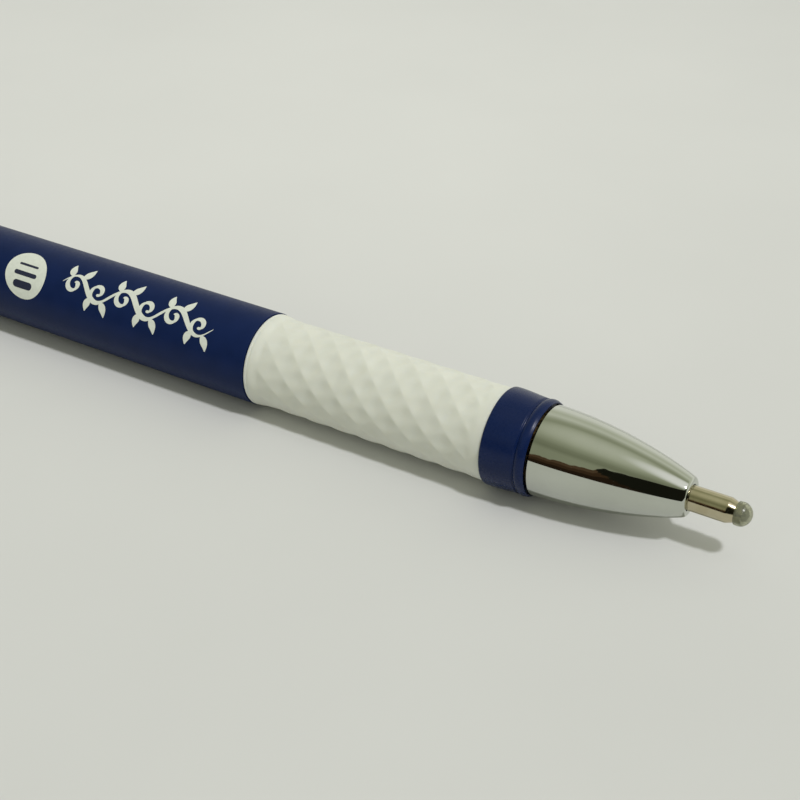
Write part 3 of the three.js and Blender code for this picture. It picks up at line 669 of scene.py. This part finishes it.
def cut_box(piece, low, high, roll):
    """Cuts a box out of a piece. Its corners are offsets from the axis, its Z along the roll."""
    cutter = bpy.data.meshes.new("cutter")
    shape = bmesh.new()
    bmesh.ops.create_cube(shape, size=1)
    size = [high[k] - low[k] for k in range(3)]
    middle = [(high[k] + low[k]) / 2 for k in range(3)]
    bmesh.ops.scale(shape, vec=size, verts=shape.verts)
    bmesh.ops.translate(shape, vec=middle, verts=shape.verts)
    turn = Matrix.Rotation(math.radians(roll - 90), 4, "X")
    place = Matrix.Translation((0, AXIS_Y, AXIS_Z)) @ turn
    bmesh.ops.transform(shape, matrix=place, verts=shape.verts)
    bmesh.ops.scale(shape, vec=(MM,) * 3, verts=shape.verts)
    shape.to_mesh(cutter)
    shape.free()
    tool = bpy.data.objects.new("cutter", cutter)
    bpy.context.collection.objects.link(tool)
    cut = piece.modifiers.new("cut", "BOOLEAN")
    cut.operation = "DIFFERENCE"
    cut.object = tool
    bpy.context.view_layer.update()
    shown = piece.evaluated_get(bpy.context.evaluated_depsgraph_get())
    mesh = bpy.data.meshes.new_from_object(shown)
    piece.modifiers.remove(cut)
    piece.data = mesh
    bpy.data.objects.remove(tool)


def tail_ring():
    """The ring behind the barrel, with a turned groove and the window for the clip's leg."""
    groove = RING_FRONT - RING_GROOVE_BACK
    outline = [(RING_REAR, BUTTON_GUIDE + RING_MOUTH_CHAMFER)]
    outline += arc(RING_REAR + RING_EDGE, RING_RADIUS - RING_EDGE, RING_EDGE, 180, 90)
    outline += [(groove - RING_GROOVE_HALF, RING_RADIUS)]
    outline += arc(groove, RING_RADIUS + RING_GROOVE_RISE, RING_GROOVE_ROUND, 205, 335, 8)
    outline += [(groove + RING_GROOVE_HALF, RING_RADIUS)]
    edge = RING_FRONT_EDGE
    outline += arc(RING_FRONT - edge, RING_RADIUS - edge, edge, 90, 0, 5)
    outline += [
        (RING_FRONT, TAIL_COUNTERBORE),
        (RING_REAR + RING_LIP, TAIL_COUNTERBORE),
        (RING_REAR + RING_LIP, BUTTON_GUIDE),
        (RING_REAR + RING_MOUTH_CHAMFER, BUTTON_GUIDE),
    ]
    ring = turned("tail_ring_turned", outline, TAIL_CHROME, "case", "tail_chrome", ["tail_ring"])
    low = (CLIP_ROOT - WINDOW_HALF_LENGTH, -WINDOW_HALF_WIDTH, WINDOW_FLOOR)
    high = (CLIP_ROOT + WINDOW_HALF_LENGTH, WINDOW_HALF_WIDTH, WINDOW_TOP)
    cut_box(ring, low, high, CLIP_ROLL)


def push_button():
    """The button: a dished end with a rounded rim, a thin wall and the flange that keeps it in."""
    flange_rear = BUTTON_FRONT - BUTTON_FLANGE_LENGTH
    floor = BUTTON_REAR + BUTTON_END_WALL
    dish = BUTTON_RADIUS - BUTTON_ROUND
    outline = [(BUTTON_REAR + BUTTON_DISH, 0)]
    steps = 10
    for i in range(steps):
        share = i / steps
        r = dish * (BUTTON_DISH_FLAT + (1 - BUTTON_DISH_FLAT) * share)
        outline.append((BUTTON_REAR + BUTTON_DISH * (1 - ease(share)), r))
    outline += arc(BUTTON_REAR + BUTTON_ROUND, dish, BUTTON_ROUND, 180, 90, 14)
    outline += [
        (flange_rear, BUTTON_RADIUS),
        (flange_rear, BUTTON_FLANGE),
        (BUTTON_FRONT, BUTTON_FLANGE),
        (BUTTON_FRONT, BUTTON_BORE),
        (floor, BUTTON_BORE),
        (floor, 0),
    ]
    turned("push_button_cap", outline, BUTTON_CHROME, "button", "button_chrome", ["push_button"])


# The clip's strip; heights are measured from the pen's axis
CLIP_LENGTH = 37.0
CLIP_WIDTH = 4.7
CLIP_END_WIDTH = 3.5
CLIP_NARROWS_AT = 0.55
CLIP_NARROWS_OVER = 0.4
CLIP_TOE_HALF_WIDTH = 0.12
CLIP_THICKNESS = 0.78
CLIP_EDGE = 0.28
CLIP_CROWN = 0.06
CLIP_LEG = 4.5
CLIP_LEG_STEP = 0.25
CLIP_BEND = 1.3
CLIP_BEND_LEAD = 0.5
CLIP_ARM = 7.7
CLIP_SAG = 0.9
CLIP_SAG_BEND = 0.4
CLIP_FOOT_HEIGHT = 5.7
CLIP_FOOT_BACK = 2.4
CLIP_DIP = 4.5
CLIP_TOE_RISE = 0.8
CLIP_TOE_CURVE = 1.6

# The channel that is pressed into the clip's top, and how it runs out at its sides and ends
CLIP_CHANNEL_WIDTH = 1.5
CLIP_CHANNEL_DEPTH = 0.16
CLIP_CHANNEL_SIDE = 0.35
CLIP_CHANNEL_SIDE_RUN = 0.5
CLIP_CHANNEL_REAR = 3.5
CLIP_CHANNEL_REAR_RUN = 2.0
CLIP_CHANNEL_FRONT = 9.5
CLIP_CHANNEL_FRONT_RUN = 3.0


def clip_spine():
    """The clip's middle line as (station, height over the axis): leg, bend, sagging arm, dip, toe."""
    toe = CLIP_ROOT + CLIP_LENGTH
    foot = toe - CLIP_FOOT_BACK
    arm_end = foot - CLIP_DIP
    line = [(CLIP_ROOT, CLIP_LEG + CLIP_LEG_STEP * i) for i in range(6)]
    line += arc(CLIP_ROOT + CLIP_BEND, CLIP_ARM - CLIP_BEND, CLIP_BEND, 180, 90, 14)
    start = CLIP_ROOT + CLIP_BEND

    def arm(x):
        share = (x - start) / (arm_end - start)
        return CLIP_ARM - CLIP_SAG * ((1 + CLIP_SAG_BEND) * share - CLIP_SAG_BEND * share ** 3)

    line += graph(arm, start + CLIP_BEND_LEAD, arm_end, 46)
    step = 0.01
    slope = (arm(arm_end) - arm(arm_end - step)) / step

    def dip(x):
        share = (x - arm_end) / (foot - arm_end)
        rise = slope * (foot - arm_end)
        bend = share ** 3 - 2 * share ** 2 + share
        return arm(arm_end) * (1 - ease(share)) + CLIP_FOOT_HEIGHT * ease(share) + rise * bend

    def toe_rise(x):
        return CLIP_FOOT_HEIGHT + CLIP_TOE_RISE * ((x - foot) / (toe - foot)) ** CLIP_TOE_CURVE

    line += graph(dip, arm_end, foot, 20)[1:]
    line += graph(toe_rise, foot, toe, 24)[1:]
    return line


def clip_half_width(x):
    """Even along the arm, drawn in towards the toe, and half round at its end."""
    share = (x - CLIP_ROOT) / CLIP_LENGTH
    narrowed = ease((share - CLIP_NARROWS_AT) / CLIP_NARROWS_OVER)
    half = CLIP_WIDTH / 2 - (CLIP_WIDTH - CLIP_END_WIDTH) / 2 * narrowed
    end = CLIP_END_WIDTH / 2
    beyond = (x - (CLIP_ROOT + CLIP_LENGTH - end)) / end
    if beyond > 0:
        half *= math.sqrt(1 - min(1.0, beyond) ** 2)
    return max(CLIP_TOE_HALF_WIDTH, half)


def clip_section(half, channel):
    """The strip's section: rounded edges and a crowned top with a share of the channel's depth."""
    thick = CLIP_THICKNESS / 2
    edge = min(CLIP_EDGE, half)
    channel_half = CLIP_CHANNEL_WIDTH / 2 + CLIP_CHANNEL_SIDE
    top = []
    steps = 14
    for i in range(steps + 1):
        y = (half - edge) * (1 - 2 * i / steps)
        crown = CLIP_CROWN * (1 - (y / half) ** 2)
        groove = channel * CLIP_CHANNEL_DEPTH * ease((channel_half - abs(y)) / CLIP_CHANNEL_SIDE_RUN)
        top.append((y, thick + crown - CLIP_CROWN - groove))
    turns = [math.radians(-90 + 22.5 * i) for i in range(1, 8)]
    right = [(half - edge + edge * math.cos(a), (thick - CLIP_CROWN) * math.sin(a)) for a in turns]
    left = [(-y, z) for y, z in reversed(right)]
    bottom = [(-(half - edge), -thick), (half - edge, -thick)]
    return right + top + left + bottom


def clip():
    """The stamped clip, swept along its middle line."""
    spine = clip_spine()
    turn = math.radians(CLIP_ROLL)
    out = Vector((0, math.cos(turn), math.sin(turn)))
    side = Vector((0, -math.sin(turn), math.cos(turn)))
    channel_start = CLIP_ROOT + CLIP_CHANNEL_REAR
    channel_end = CLIP_ROOT + CLIP_LENGTH - CLIP_CHANNEL_FRONT
    points = []
    for i, (x, h) in enumerate(spine):
        before, after = spine[max(0, i - 1)], spine[min(len(spine) - 1, i + 1)]
        along = Vector((after[0] - before[0], after[1] - before[1])).normalized()
        normal = Vector((-along.y, along.x))
        channel = ease((x - channel_start) / CLIP_CHANNEL_REAR_RUN)
        channel *= ease((channel_end - x) / CLIP_CHANNEL_FRONT_RUN)
        for y, z in clip_section(clip_half_width(x), channel):
            place = Vector((x + normal.x * z, AXIS_Y, AXIS_Z)) + out * (h + normal.y * z) + side * y
            points.append(tuple(place))
    faces = tube_faces(len(spine), len(points) // len(spine))
    add_piece("clip_strip", points, faces, CLIP_CHROME, "clip", "clip_chrome", ["clip"], sharp=50)


# The tip, the drop and the spring

TIP_RADIUS = 1.23
TIP_CHAMFER = 0.1
SHANK_RADIUS = 0.95
SHANK_LENGTH = 6.0
TUBE_REAR = TIP_REAR + SHANK_LENGTH
INK_CHANNEL = 0.4
TAPER_START = NOSE_FRONT + 3.6
TAPER_LENGTH = 0.8
TAPER_ANGLE = 20
TAPER_LEAD = 0.04
BALL_RADIUS = (BALL_FRONT - BALL_REAR) / 2
BALL_CENTRE = (BALL_FRONT + BALL_REAR) / 2
CUP_RADIUS = BALL_RADIUS + 0.04
CUP_DEPTH_ANGLE = 150
LIP_BORE = math.sqrt(CUP_RADIUS ** 2 - (TIP_FRONT - BALL_CENTRE) ** 2)
LIP_RADIUS = LIP_BORE + 0.12
LIP_BREAK = 0.02

DROP_FULLNESS = 1.06
DROP_GAP = 0.03
DROP_SKIRT_GAP = 0.02
DROP_SKIRT_ROUND = 0.14
DROP_SKIRT_DROP = 0.16

WIRE_RADIUS = 0.19
WIRE_SIDES = 10
SPRING_TURNS = 9
SPRING_TURN_STEPS = 40
SPRING_END_PITCH = 2.3 * WIRE_RADIUS


def taper_radius(x):
    """The tube, a crisp cone and then the lip that is rolled in round the ball."""
    along = max(0.0, x - TAPER_START)
    cone_end = TIP_RADIUS - TAPER_LENGTH * math.tan(math.radians(TAPER_ANGLE))
    if along <= TAPER_LENGTH:
        return TIP_RADIUS - (TIP_RADIUS - cone_end) * along / TAPER_LENGTH
    share = (along - TAPER_LENGTH) / (TIP_FRONT - TAPER_START - TAPER_LENGTH)
    return cone_end - (cone_end - LIP_RADIUS) * share


def tip_body():
    """The metal tip: shank, straight tube, taper and the cup for the ball."""
    lip = math.degrees(math.acos((TIP_FRONT - BALL_CENTRE) / CUP_RADIUS))
    outline = [
        (TIP_REAR, INK_CHANNEL),
        (TIP_REAR, SHANK_RADIUS - TIP_CHAMFER),
        (TIP_REAR + TIP_CHAMFER, SHANK_RADIUS),
        (TUBE_REAR, SHANK_RADIUS),
        (TUBE_REAR, TIP_RADIUS - TIP_CHAMFER),
        (TUBE_REAR + TIP_CHAMFER, TIP_RADIUS),
        (TAPER_START - TAPER_LEAD, TIP_RADIUS),
    ]
    outline += graph(taper_radius, TAPER_START, TIP_FRONT - LIP_BREAK, 24)
    outline += arc(BALL_CENTRE, 0, CUP_RADIUS, lip, CUP_DEPTH_ANGLE, 16)
    turned("tip_body_turned", outline, NICKEL, "refill", "tip_nickel", ["tip_body"])


def writing_ball():
    """The ball, ground round, with its two poles on the axis."""
    outline = arc(BALL_CENTRE, 0, BALL_RADIUS, 180, 0, 32)
    outline[0] = (BALL_REAR, 0)
    outline[-1] = (BALL_FRONT, 0)
    turned("writing_ball_ground", outline, CARBIDE, "refill", "ball_steel", ["writing_ball"],
           segments=64)


def sealing_drop():
    """The soft drop over the ball: a flattened dome in front and a rounded skirt on the taper."""
    radius = DROP_RADIUS * DROP_FULLNESS
    centre = DROP_FRONT - DROP_RADIUS
    edge = DROP_SKIRT_ROUND
    outline = [(DROP_REAR, taper_radius(DROP_REAR) + DROP_SKIRT_GAP)]
    outline += arc(DROP_REAR + edge, radius - DROP_SKIRT_DROP, edge, 200, 100, 6)
    dome = arc(centre, 0, radius, 90, 0, 30)[:-1]
    outline += [(centre + (x - centre) * DROP_RADIUS / radius, r) for x, r in dome]
    outline += [(DROP_FRONT, 0), (BALL_FRONT + DROP_GAP, 0)]
    outline += arc(BALL_CENTRE, 0, BALL_RADIUS + DROP_GAP, 4, 60, 16)
    outline += [(TIP_FRONT + DROP_GAP, LIP_RADIUS + DROP_SKIRT_GAP)]
    turned("sealing_drop_dome", outline, WAX, "refill", "seal_wax", ["sealing_drop"], segments=96)


def return_spring():
    """Drawn wire in nine turns, the first and the last closed up to the next one."""
    coil = COIL_RADIUS - WIRE_RADIUS
    rear = SPRING_REAR + WIRE_RADIUS
    front = SPRING_FRONT - WIRE_RADIUS
    closed = SPRING_END_PITCH / (front - rear)
    last = SPRING_TURNS * SPRING_TURN_STEPS
    points = []
    for i in range(last + 1):
        turn = i / SPRING_TURN_STEPS
        if turn < 1:
            share = closed * turn
        elif turn > SPRING_TURNS - 1:
            share = 1 - closed * (SPRING_TURNS - turn)
        else:
            share = closed + (1 - 2 * closed) * (turn - 1) / (SPRING_TURNS - 2)
        x = rear + (front - rear) * share
        for k in range(WIRE_SIDES):
            angle = 2 * math.pi * k / WIRE_SIDES
            r = coil + WIRE_RADIUS * math.sin(angle)
            points.append(at(x + WIRE_RADIUS * math.cos(angle), r, 360 * turn))
    faces = tube_faces(last + 1, WIRE_SIDES)
    spring = add_piece("return_spring_coil", points, faces, WIRE, None, "spring_steel",
                       ["return_spring"])
    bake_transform(spring)


# The print on the barrel: a trailing vine and a disc with bars of three widths

PRINT_PROUD = 0.014
PRINT_SINK = 0.02
PRINT_LAP = 0.0004
PRINT_STEP = 0.35

# The broad nib: its angle, its narrowest line and how its strokes run in from a point
NIB_ANGLE = 40
NIB_THIN = 0.26
NIB_POINT = 0.15
NIB_RUN_IN = 4

VINE_START = -8.4
VINE_ROLL = 131.0
VINE_LENGTH = 20.6
VINE_WAVE = 6.86
VINE_HEIGHT = 1.15
VINE_STEM_WIDTH = 0.66
VINE_CURL_WIDTH = 0.56
VINE_CURL_RADIUS = 1.1
VINE_CURL_TURNS = 1.05
VINE_CURL_BACK = 0.1
CURL_TIGHTENS = 0.8
LEAF_TIP = 0.06
LEAF_WIDTH = 0.8
LEAF_SKEW = 0.8

DISC_STATION = -13.6
DISC_ROLL = 138.0
DISC_LENGTH = 5.7
DISC_GIRTH = 5.5
DISC_LEAN = 0.08
DISC_CENTRE = 0.02
BAR_END = 0.02

# The leaves at each bend of the vine as (place along it, heading, length, bend), and the bars on the
# disc as (half length, height, width)
VINE_LEAVES = [(0.55, 58, 1.75, -0.2), (-0.75, 106, 1.55, 0.16)]
DISC_BARS = [(1.35, -1.2, 0.85), (1.6, 0.05, 0.5), (1.35, 1.1, 0.26)]


def on_barrel(u, v, station, roll, height):
    """A point of the barrel's unrolled surface: u along it, v up round it, both in millimetres."""
    return at(station + u, BARREL_RADIUS + height, roll - math.degrees(v / BARREL_RADIUS))


def stroke(path, widths, station, roll, proud):
    """The points and faces of one pen stroke: a thin closed ribbon that follows the barrel."""
    columns = 2 + math.ceil(max(widths) / PRINT_STEP)
    section = [(1, -PRINT_SINK)] + [(1 - 2 * k / (columns - 1), proud) for k in range(columns)]
    section += [(-1, -PRINT_SINK)]
    points = []
    for i, (u, v) in enumerate(path):
        before, after = path[max(0, i - 1)], path[min(len(path) - 1, i + 1)]
        along = Vector((after[0] - before[0], after[1] - before[1])).normalized()
        half = widths[i] / 2
        for side, height in section:
            across = u - along.y * half * side
            up = v + along.x * half * side
            points.append(on_barrel(across, up, station, roll, height))
    return points, tube_faces(len(path), len(section))


def add_strokes(name, strokes, material, station, roll, proud):
    """Strokes as one piece, each a hair over the one before it."""
    points = []
    faces = []
    for i, (path, widths) in enumerate(strokes):
        some_points, some_faces = stroke(path, widths, station, roll, proud + PRINT_LAP * i)
        faces += [tuple(len(points) + k for k in face) for face in some_faces]
        points += some_points
    add_piece(name, points, faces, material, "case", sharp=30)


def nib(path, thick):
    """Widths of a broad nib held at its angle: thick across it, thin along it, pointed at the ends."""
    widths = []
    for i in range(len(path)):
        before, after = path[max(0, i - 1)], path[min(len(path) - 1, i + 1)]
        heading = math.atan2(after[1] - before[1], after[0] - before[0])
        swing = abs(math.sin(heading - math.radians(NIB_ANGLE)))
        end = min(1.0, NIB_RUN_IN * i / len(path), NIB_RUN_IN * (len(path) - 1 - i) / len(path))
        pressure = NIB_POINT + (1 - NIB_POINT) * math.sqrt(end)
        widths.append((NIB_THIN + (thick - NIB_THIN) * swing) * pressure)
    return widths


def curl(u, v, radius, start, turns, steps=48):
    """A curl that winds in to a point, starting at an angle."""
    path = []
    for i in range(steps + 1):
        share = i / steps
        angle = math.radians(start + 360 * turns * share)
        r = radius * (1 - CURL_TIGHTENS * share)
        path.append((u + r * math.cos(angle), v + r * math.sin(angle)))
    return path


def leaf(u, v, heading, length, bend):
    """A leaf's middle line and its widths."""
    path = []
    widths = []
    steps = 16
    turn = math.radians(heading)
    for i in range(steps + 1):
        share = i / steps
        out = share * length
        sway = bend * math.sin(math.pi * share)
        path.append((u + out * math.cos(turn) - sway * math.sin(turn),
                     v + out * math.sin(turn) + sway * math.cos(turn)))
        widths.append(LEAF_TIP + LEAF_WIDTH * math.sin(math.pi * share ** LEAF_SKEW))
    return path, widths


def vine():
    """A wavy stem with a curl and slanting leaves at each bend."""

    def stem(u):
        return VINE_HEIGHT * math.sin(2 * math.pi * u / VINE_WAVE)

    path = graph(stem, 0.0, VINE_LENGTH, 160)
    strokes = [(path, nib(path, VINE_STEM_WIDTH))]
    for k in range(6):
        u = VINE_WAVE / 4 + k * VINE_WAVE / 2
        side = 1 if k % 2 == 0 else -1
        centre = stem(u) - side * VINE_CURL_RADIUS
        turns = side * VINE_CURL_TURNS
        spiral = curl(u - VINE_CURL_BACK, centre, VINE_CURL_RADIUS, 90 * side, turns)
        strokes.append((spiral, nib(spiral, VINE_CURL_WIDTH)))
        for place, heading, length, bend in VINE_LEAVES:
            root = stem(u + place)
            strokes.append(leaf(u + place, root, heading * side, length, bend * side))
    add_strokes("barrel_print_vine", strokes, PRINT_WHITE, VINE_START, VINE_ROLL, PRINT_PROUD)


def disc():
    """A white disc behind the vine."""
    rings = 10
    around = 72
    heights = [(i / rings, PRINT_PROUD) for i in range(rings + 1)] + [(1.0, -PRINT_SINK)]
    points = []
    for share, height in heights:
        for i in range(around):
            angle = 2 * math.pi * i / around
            u = DISC_LENGTH / 2 * max(share, DISC_CENTRE) * math.cos(angle)
            v = DISC_GIRTH / 2 * max(share, DISC_CENTRE) * math.sin(angle)
            points.append(on_barrel(u - DISC_LEAN * v, v, DISC_STATION, DISC_ROLL, height))
    faces = tube_faces(len(heights), around)
    add_piece("barrel_print_disc", points, faces, PRINT_WHITE, "case", sharp=30)


def bars():
    """Three straight bars on the disc, thick, middling and thin, with round ends."""
    steps = 40
    strokes = []
    for half, height, width in DISC_BARS:
        path = []
        widths = []
        for i in range(steps + 1):
            u = half * math.sin(math.pi * (i / steps - 0.5))
            path.append((u, height))
            end = max(0.0, abs(u) - half + width / 2) / (width / 2)
            widths.append(width * math.sqrt(max(BAR_END, 1 - end * end)))
        strokes.append((path, widths))
    add_strokes("barrel_print_bars", strokes, PRINT_NAVY, DISC_STATION, DISC_ROLL, 2 * PRINT_PROUD)


def dress_inner_nodes():
    """The pieces inside keep their own shape and get their finish."""
    finishes = {
        BRASS: ["front_bush", "tail_bush"],
        ACETAL: ["cam_plunger", "cam_sleeve", "rotor"],
        NATURAL: ["refill_cap", "tip_holder"],
        CLEAR: ["refill_tube"],
        INK: ["ink_column"],
        GREASE: ["grease_follower"],
    }
    for finish, nodes in finishes.items():
        for node in nodes:
            piece = frame["nodes"][node]
            for slot in piece.material_slots:
                slot.material = finish


# The stage

CAMERA_PLACE = (98.69, -110.05, 86.62)
CAMERA_TURN = (57.29, 0.0, 31.29)
CAMERA_LENS = 67.5
KEY_DIRECTION = (0.471, -0.115, 0.875)
KEY_COLOR = (0.97, 0.97, 1.0)
KEY_STRENGTH = 1.73
KEY_WIDTH = 5.5
FILL_DIRECTION = (0.1, -0.8, 0.55)
FILL_STRENGTH = 0.42
FILL_WIDTH = 60.0

# The room's light level by height on its far and on its near side, and the patch overhead
SKY_FAR = [
    (0.0, 0.84), (0.26, 0.86), (0.54, 0.60), (0.70, 0.70),
    (0.84, 0.39), (0.89, 0.35), (0.94, 0.49), (1.0, 0.62),
]
SKY_NEAR = [
    (0.0, 0.28), (0.45, 0.31), (0.59, 0.30), (0.70, 0.22),
    (0.79, 0.26), (0.88, 0.38), (0.95, 0.53), (1.0, 0.62),
]
SKY_NEAR_END = -0.15
SKY_FAR_START = 0.25
SKY_PATCH = (0.42, 0.0, 0.90)
SKY_PATCH_LEVEL = 1.02
SKY_PATCH_WIDTH = 24.0
SKY_PATCH_CORE = 0.3
BACKDROP_COLOR = (0.63, 0.635, 0.58)
# The paper's colour inside and outside a painted pool of light, its random mottle, and where the
# painted pool lies
FLOOR_LIT = (0.652, 0.652, 0.640)
FLOOR_DIM = (0.585, 0.586, 0.578)
FLOOR_MOTTLE = 0.012
LIGHT_POOL_CENTRE = (-18.0, 68.0, 0.0)
LIGHT_POOL_EDGE = 140.0
FLOOR_HALF = 10000.0

# The cards' tops as (azimuth, height in degrees), seen from the nose's front
CARD_DISTANCE = 400.0
CARD_TOPS = [
    (-180, 15), (-112, 17), (-96, 23), (-92, 27), (-89, 37), (-67, 46), (-31, 56), (-12, 50), (-10, 0),
]
CARD_BLACK_FROM = -91.5
CARD_BLACK_SLANT = 14
CARD_RAG_END = -72
CARD_ROWS = [0.0, 0.12, 0.25, 0.4, 0.55, 0.7, 0.85, 1.0]
CARD_COLORS = [
    (0.011, 0.011, 0.007), (0.022, 0.013, 0.007), (0.05, 0.028, 0.014), (0.09, 0.055, 0.03),
]


def camera():
    data = bpy.data.cameras.new("camera")
    data.lens = CAMERA_LENS
    data.sensor_width = 36
    data.clip_start = 0.005
    data.clip_end = 60
    made = bpy.data.objects.new("camera", data)
    made.location = Vector(CAMERA_PLACE) * MM
    made.rotation_euler = [math.radians(angle) for angle in CAMERA_TURN]
    bpy.context.collection.objects.link(made)
    bpy.context.scene.camera = made


def lamp(name, direction, strength, width):
    data = bpy.data.lights.new(name, "SUN")
    data.energy = strength
    data.angle = math.radians(width)
    data.color = KEY_COLOR
    made = bpy.data.objects.new(name, data)
    made.rotation_euler = Vector(direction).to_track_quat("Z", "Y").to_euler()
    bpy.context.collection.objects.link(made)
    return made


def lamps():
    """A key from above the tip and a weak, very soft fill from the near side."""
    lamp("key", KEY_DIRECTION, KEY_STRENGTH, KEY_WIDTH)
    fill = lamp("fill", FILL_DIRECTION, FILL_STRENGTH, FILL_WIDTH)
    fill.visible_glossy = False


def emission(name, color):
    made = bpy.data.materials.new(name)
    made.use_nodes = True
    nodes = made.node_tree.nodes
    nodes.remove(nodes["Principled BSDF"])
    glow = nodes.new("ShaderNodeEmission")
    glow.inputs["Color"].default_value = (*color, 1)
    made.node_tree.links.new(glow.outputs["Emission"], nodes["Material Output"].inputs["Surface"])
    return made


def stage_piece(name, points, faces, *materials):
    """A mesh of the stage, which is no part of the object."""
    mesh = bpy.data.meshes.new(name)
    mesh.from_pydata([Vector(p) * MM for p in points], [], faces)
    for finish in materials:
        mesh.materials.append(finish)
    made = bpy.data.objects.new(name, mesh)
    bpy.context.collection.objects.link(made)
    return made


def floor():
    """Pale paper with a painted pool of light: a little lighter in a wide pool beyond the pen."""
    paper = material("floor", FLOOR_DIM, 0.85, Specular_IOR_Level=0.2)
    nodes, links = paper.node_tree.nodes, paper.node_tree.links
    mottle = noise(paper, 25)

    def shades(color):
        darker = tuple(c * (1 - FLOOR_MOTTLE) for c in color)
        lighter = tuple(c * (1 + FLOOR_MOTTLE) for c in color)
        return ramp(paper, mottle, [(NOISE_LOW, darker), (NOISE_HIGH, lighter)])

    place = nodes.new("ShaderNodeTexCoord")
    away = nodes.new("ShaderNodeVectorMath")
    away.operation = "DISTANCE"
    away.inputs[1].default_value = Vector(LIGHT_POOL_CENTRE) * MM
    links.new(place.outputs["Object"], away.inputs[0])
    # A painted pool of light: the paper is lighter towards the pool's centre
    share = soft_step(paper, away.outputs["Value"], 0.0, LIGHT_POOL_EDGE * MM)
    color = mixed(paper, share, shades(FLOOR_LIT), shades(FLOOR_DIM))
    links.new(color, shader_of(paper).inputs["Base Color"])
    half = FLOOR_HALF
    corners = [(-half, -half, 0), (half, -half, 0), (half, half, 0), (-half, half, 0)]
    stage_piece("floor", corners, [(0, 1, 2, 3)], paper)


def card_top(azimuth):
    """The cards' height at an azimuth, straight between the chosen tops."""
    pairs = zip(CARD_TOPS, CARD_TOPS[1:])
    (a, low), (b, high) = next(pair for pair in pairs if pair[0][0] <= azimuth <= pair[1][0])
    return low + (high - low) * (azimuth - a) / (b - a)


def card_rag(azimuth):
    """The uneven top of the cards on the left."""
    share = 1 - ease((azimuth - CARD_BLACK_FROM) / (CARD_RAG_END - CARD_BLACK_FROM))
    coarse = 1.1 * math.sin(0.9 * azimuth)
    fine = 0.8 * math.sin(2.3 * azimuth) * math.sin(0.37 * azimuth)
    return share * (coarse + fine)


def card_finish(azimuth, share):
    """0 is black. Its left end is slanted; what lies left of it is brown, paler towards the top."""
    if azimuth > CARD_BLACK_FROM + CARD_BLACK_SLANT * (1 - share) ** 2:
        return 0
    return 1 + int((len(CARD_COLORS) - 1) * share)


def cards():
    """Dark cards that only mirrors and clear pieces see: black in front and brown to the left."""
    points = []
    start = CARD_TOPS[0][0]
    end = CARD_TOPS[-1][0]
    azimuths = [start + i / 2 for i in range(2 * (end - start) + 1)]
    for azimuth in azimuths:
        turn = math.radians(azimuth)
        top = math.radians(max(0.0, card_top(azimuth) + card_rag(azimuth)))
        x = NOSE_FRONT + CARD_DISTANCE * math.cos(turn)
        y = AXIS_Y + CARD_DISTANCE * math.sin(turn)
        points += [(x, y, CARD_DISTANCE * math.tan(top * share)) for share in CARD_ROWS]
    rows = len(CARD_ROWS)
    faces = []
    finishes = []
    for i in range(len(azimuths) - 1):
        for j in range(rows - 1):
            a = rows * i + j
            faces.append((a, a + rows, a + rows + 1, a + 1))
            finishes.append(card_finish(azimuths[i], (CARD_ROWS[j] + CARD_ROWS[j + 1]) / 2))
    glows = [emission(f"card_{i}", color) for i, color in enumerate(CARD_COLORS)]
    made = stage_piece("cards", points, faces, *glows)
    for finish, face in zip(finishes, made.data.polygons):
        face.material_index = finish
    made.visible_camera = False
    made.visible_diffuse = False
    made.visible_shadow = False


def sky_color(level):
    """The room's walls are warmer where they are dim."""
    return level, level * (1.09 - 0.1 * level), level * (0.63 + 0.34 * level)


def world():
    """A plain soft room: a bright far wall, a dim near side and a pale patch overhead."""
    made = bpy.data.worlds.new("world")
    made.use_nodes = True
    nodes, links = made.node_tree.nodes, made.node_tree.links
    place = nodes.new("ShaderNodeTexCoord")
    split = nodes.new("ShaderNodeSeparateXYZ")
    links.new(place.outputs["Generated"], split.inputs["Vector"])
    far = ramp(made, split.outputs["Z"], [(z, sky_color(level)) for z, level in SKY_FAR])
    near = ramp(made, split.outputs["Z"], [(z, sky_color(level)) for z, level in SKY_NEAR])
    side = soft_step(made, split.outputs["Y"], SKY_NEAR_END, SKY_FAR_START)
    walls = mixed(made, side, near, far)
    facing = nodes.new("ShaderNodeVectorMath")
    facing.operation = "DOT_PRODUCT"
    facing.inputs[1].default_value = Vector(SKY_PATCH).normalized()
    links.new(place.outputs["Generated"], facing.inputs[0])
    edge = math.cos(math.radians(SKY_PATCH_WIDTH))
    core = math.cos(math.radians(SKY_PATCH_WIDTH * SKY_PATCH_CORE))
    patch = soft_step(made, facing.outputs["Value"], edge, core)
    room = mixed(made, patch, walls, sky_color(SKY_PATCH_LEVEL))
    seen = nodes.new("ShaderNodeLightPath")
    shown = mixed(made, seen.outputs["Is Camera Ray"], room, BACKDROP_COLOR)
    links.new(shown, nodes["Background"].inputs["Color"])
    bpy.context.scene.world = made


bpy.context.scene.view_settings.view_transform = "Standard"
camera()
lamps()
world()
floor()
cards()

nose_cone()
collar_ring()
grip_sleeve()
barrel()
tail_ring()
push_button()
clip()
tip_body()
writing_ball()
sealing_drop()
return_spring()
vine()
disc()
bars()
dress_inner_nodes()
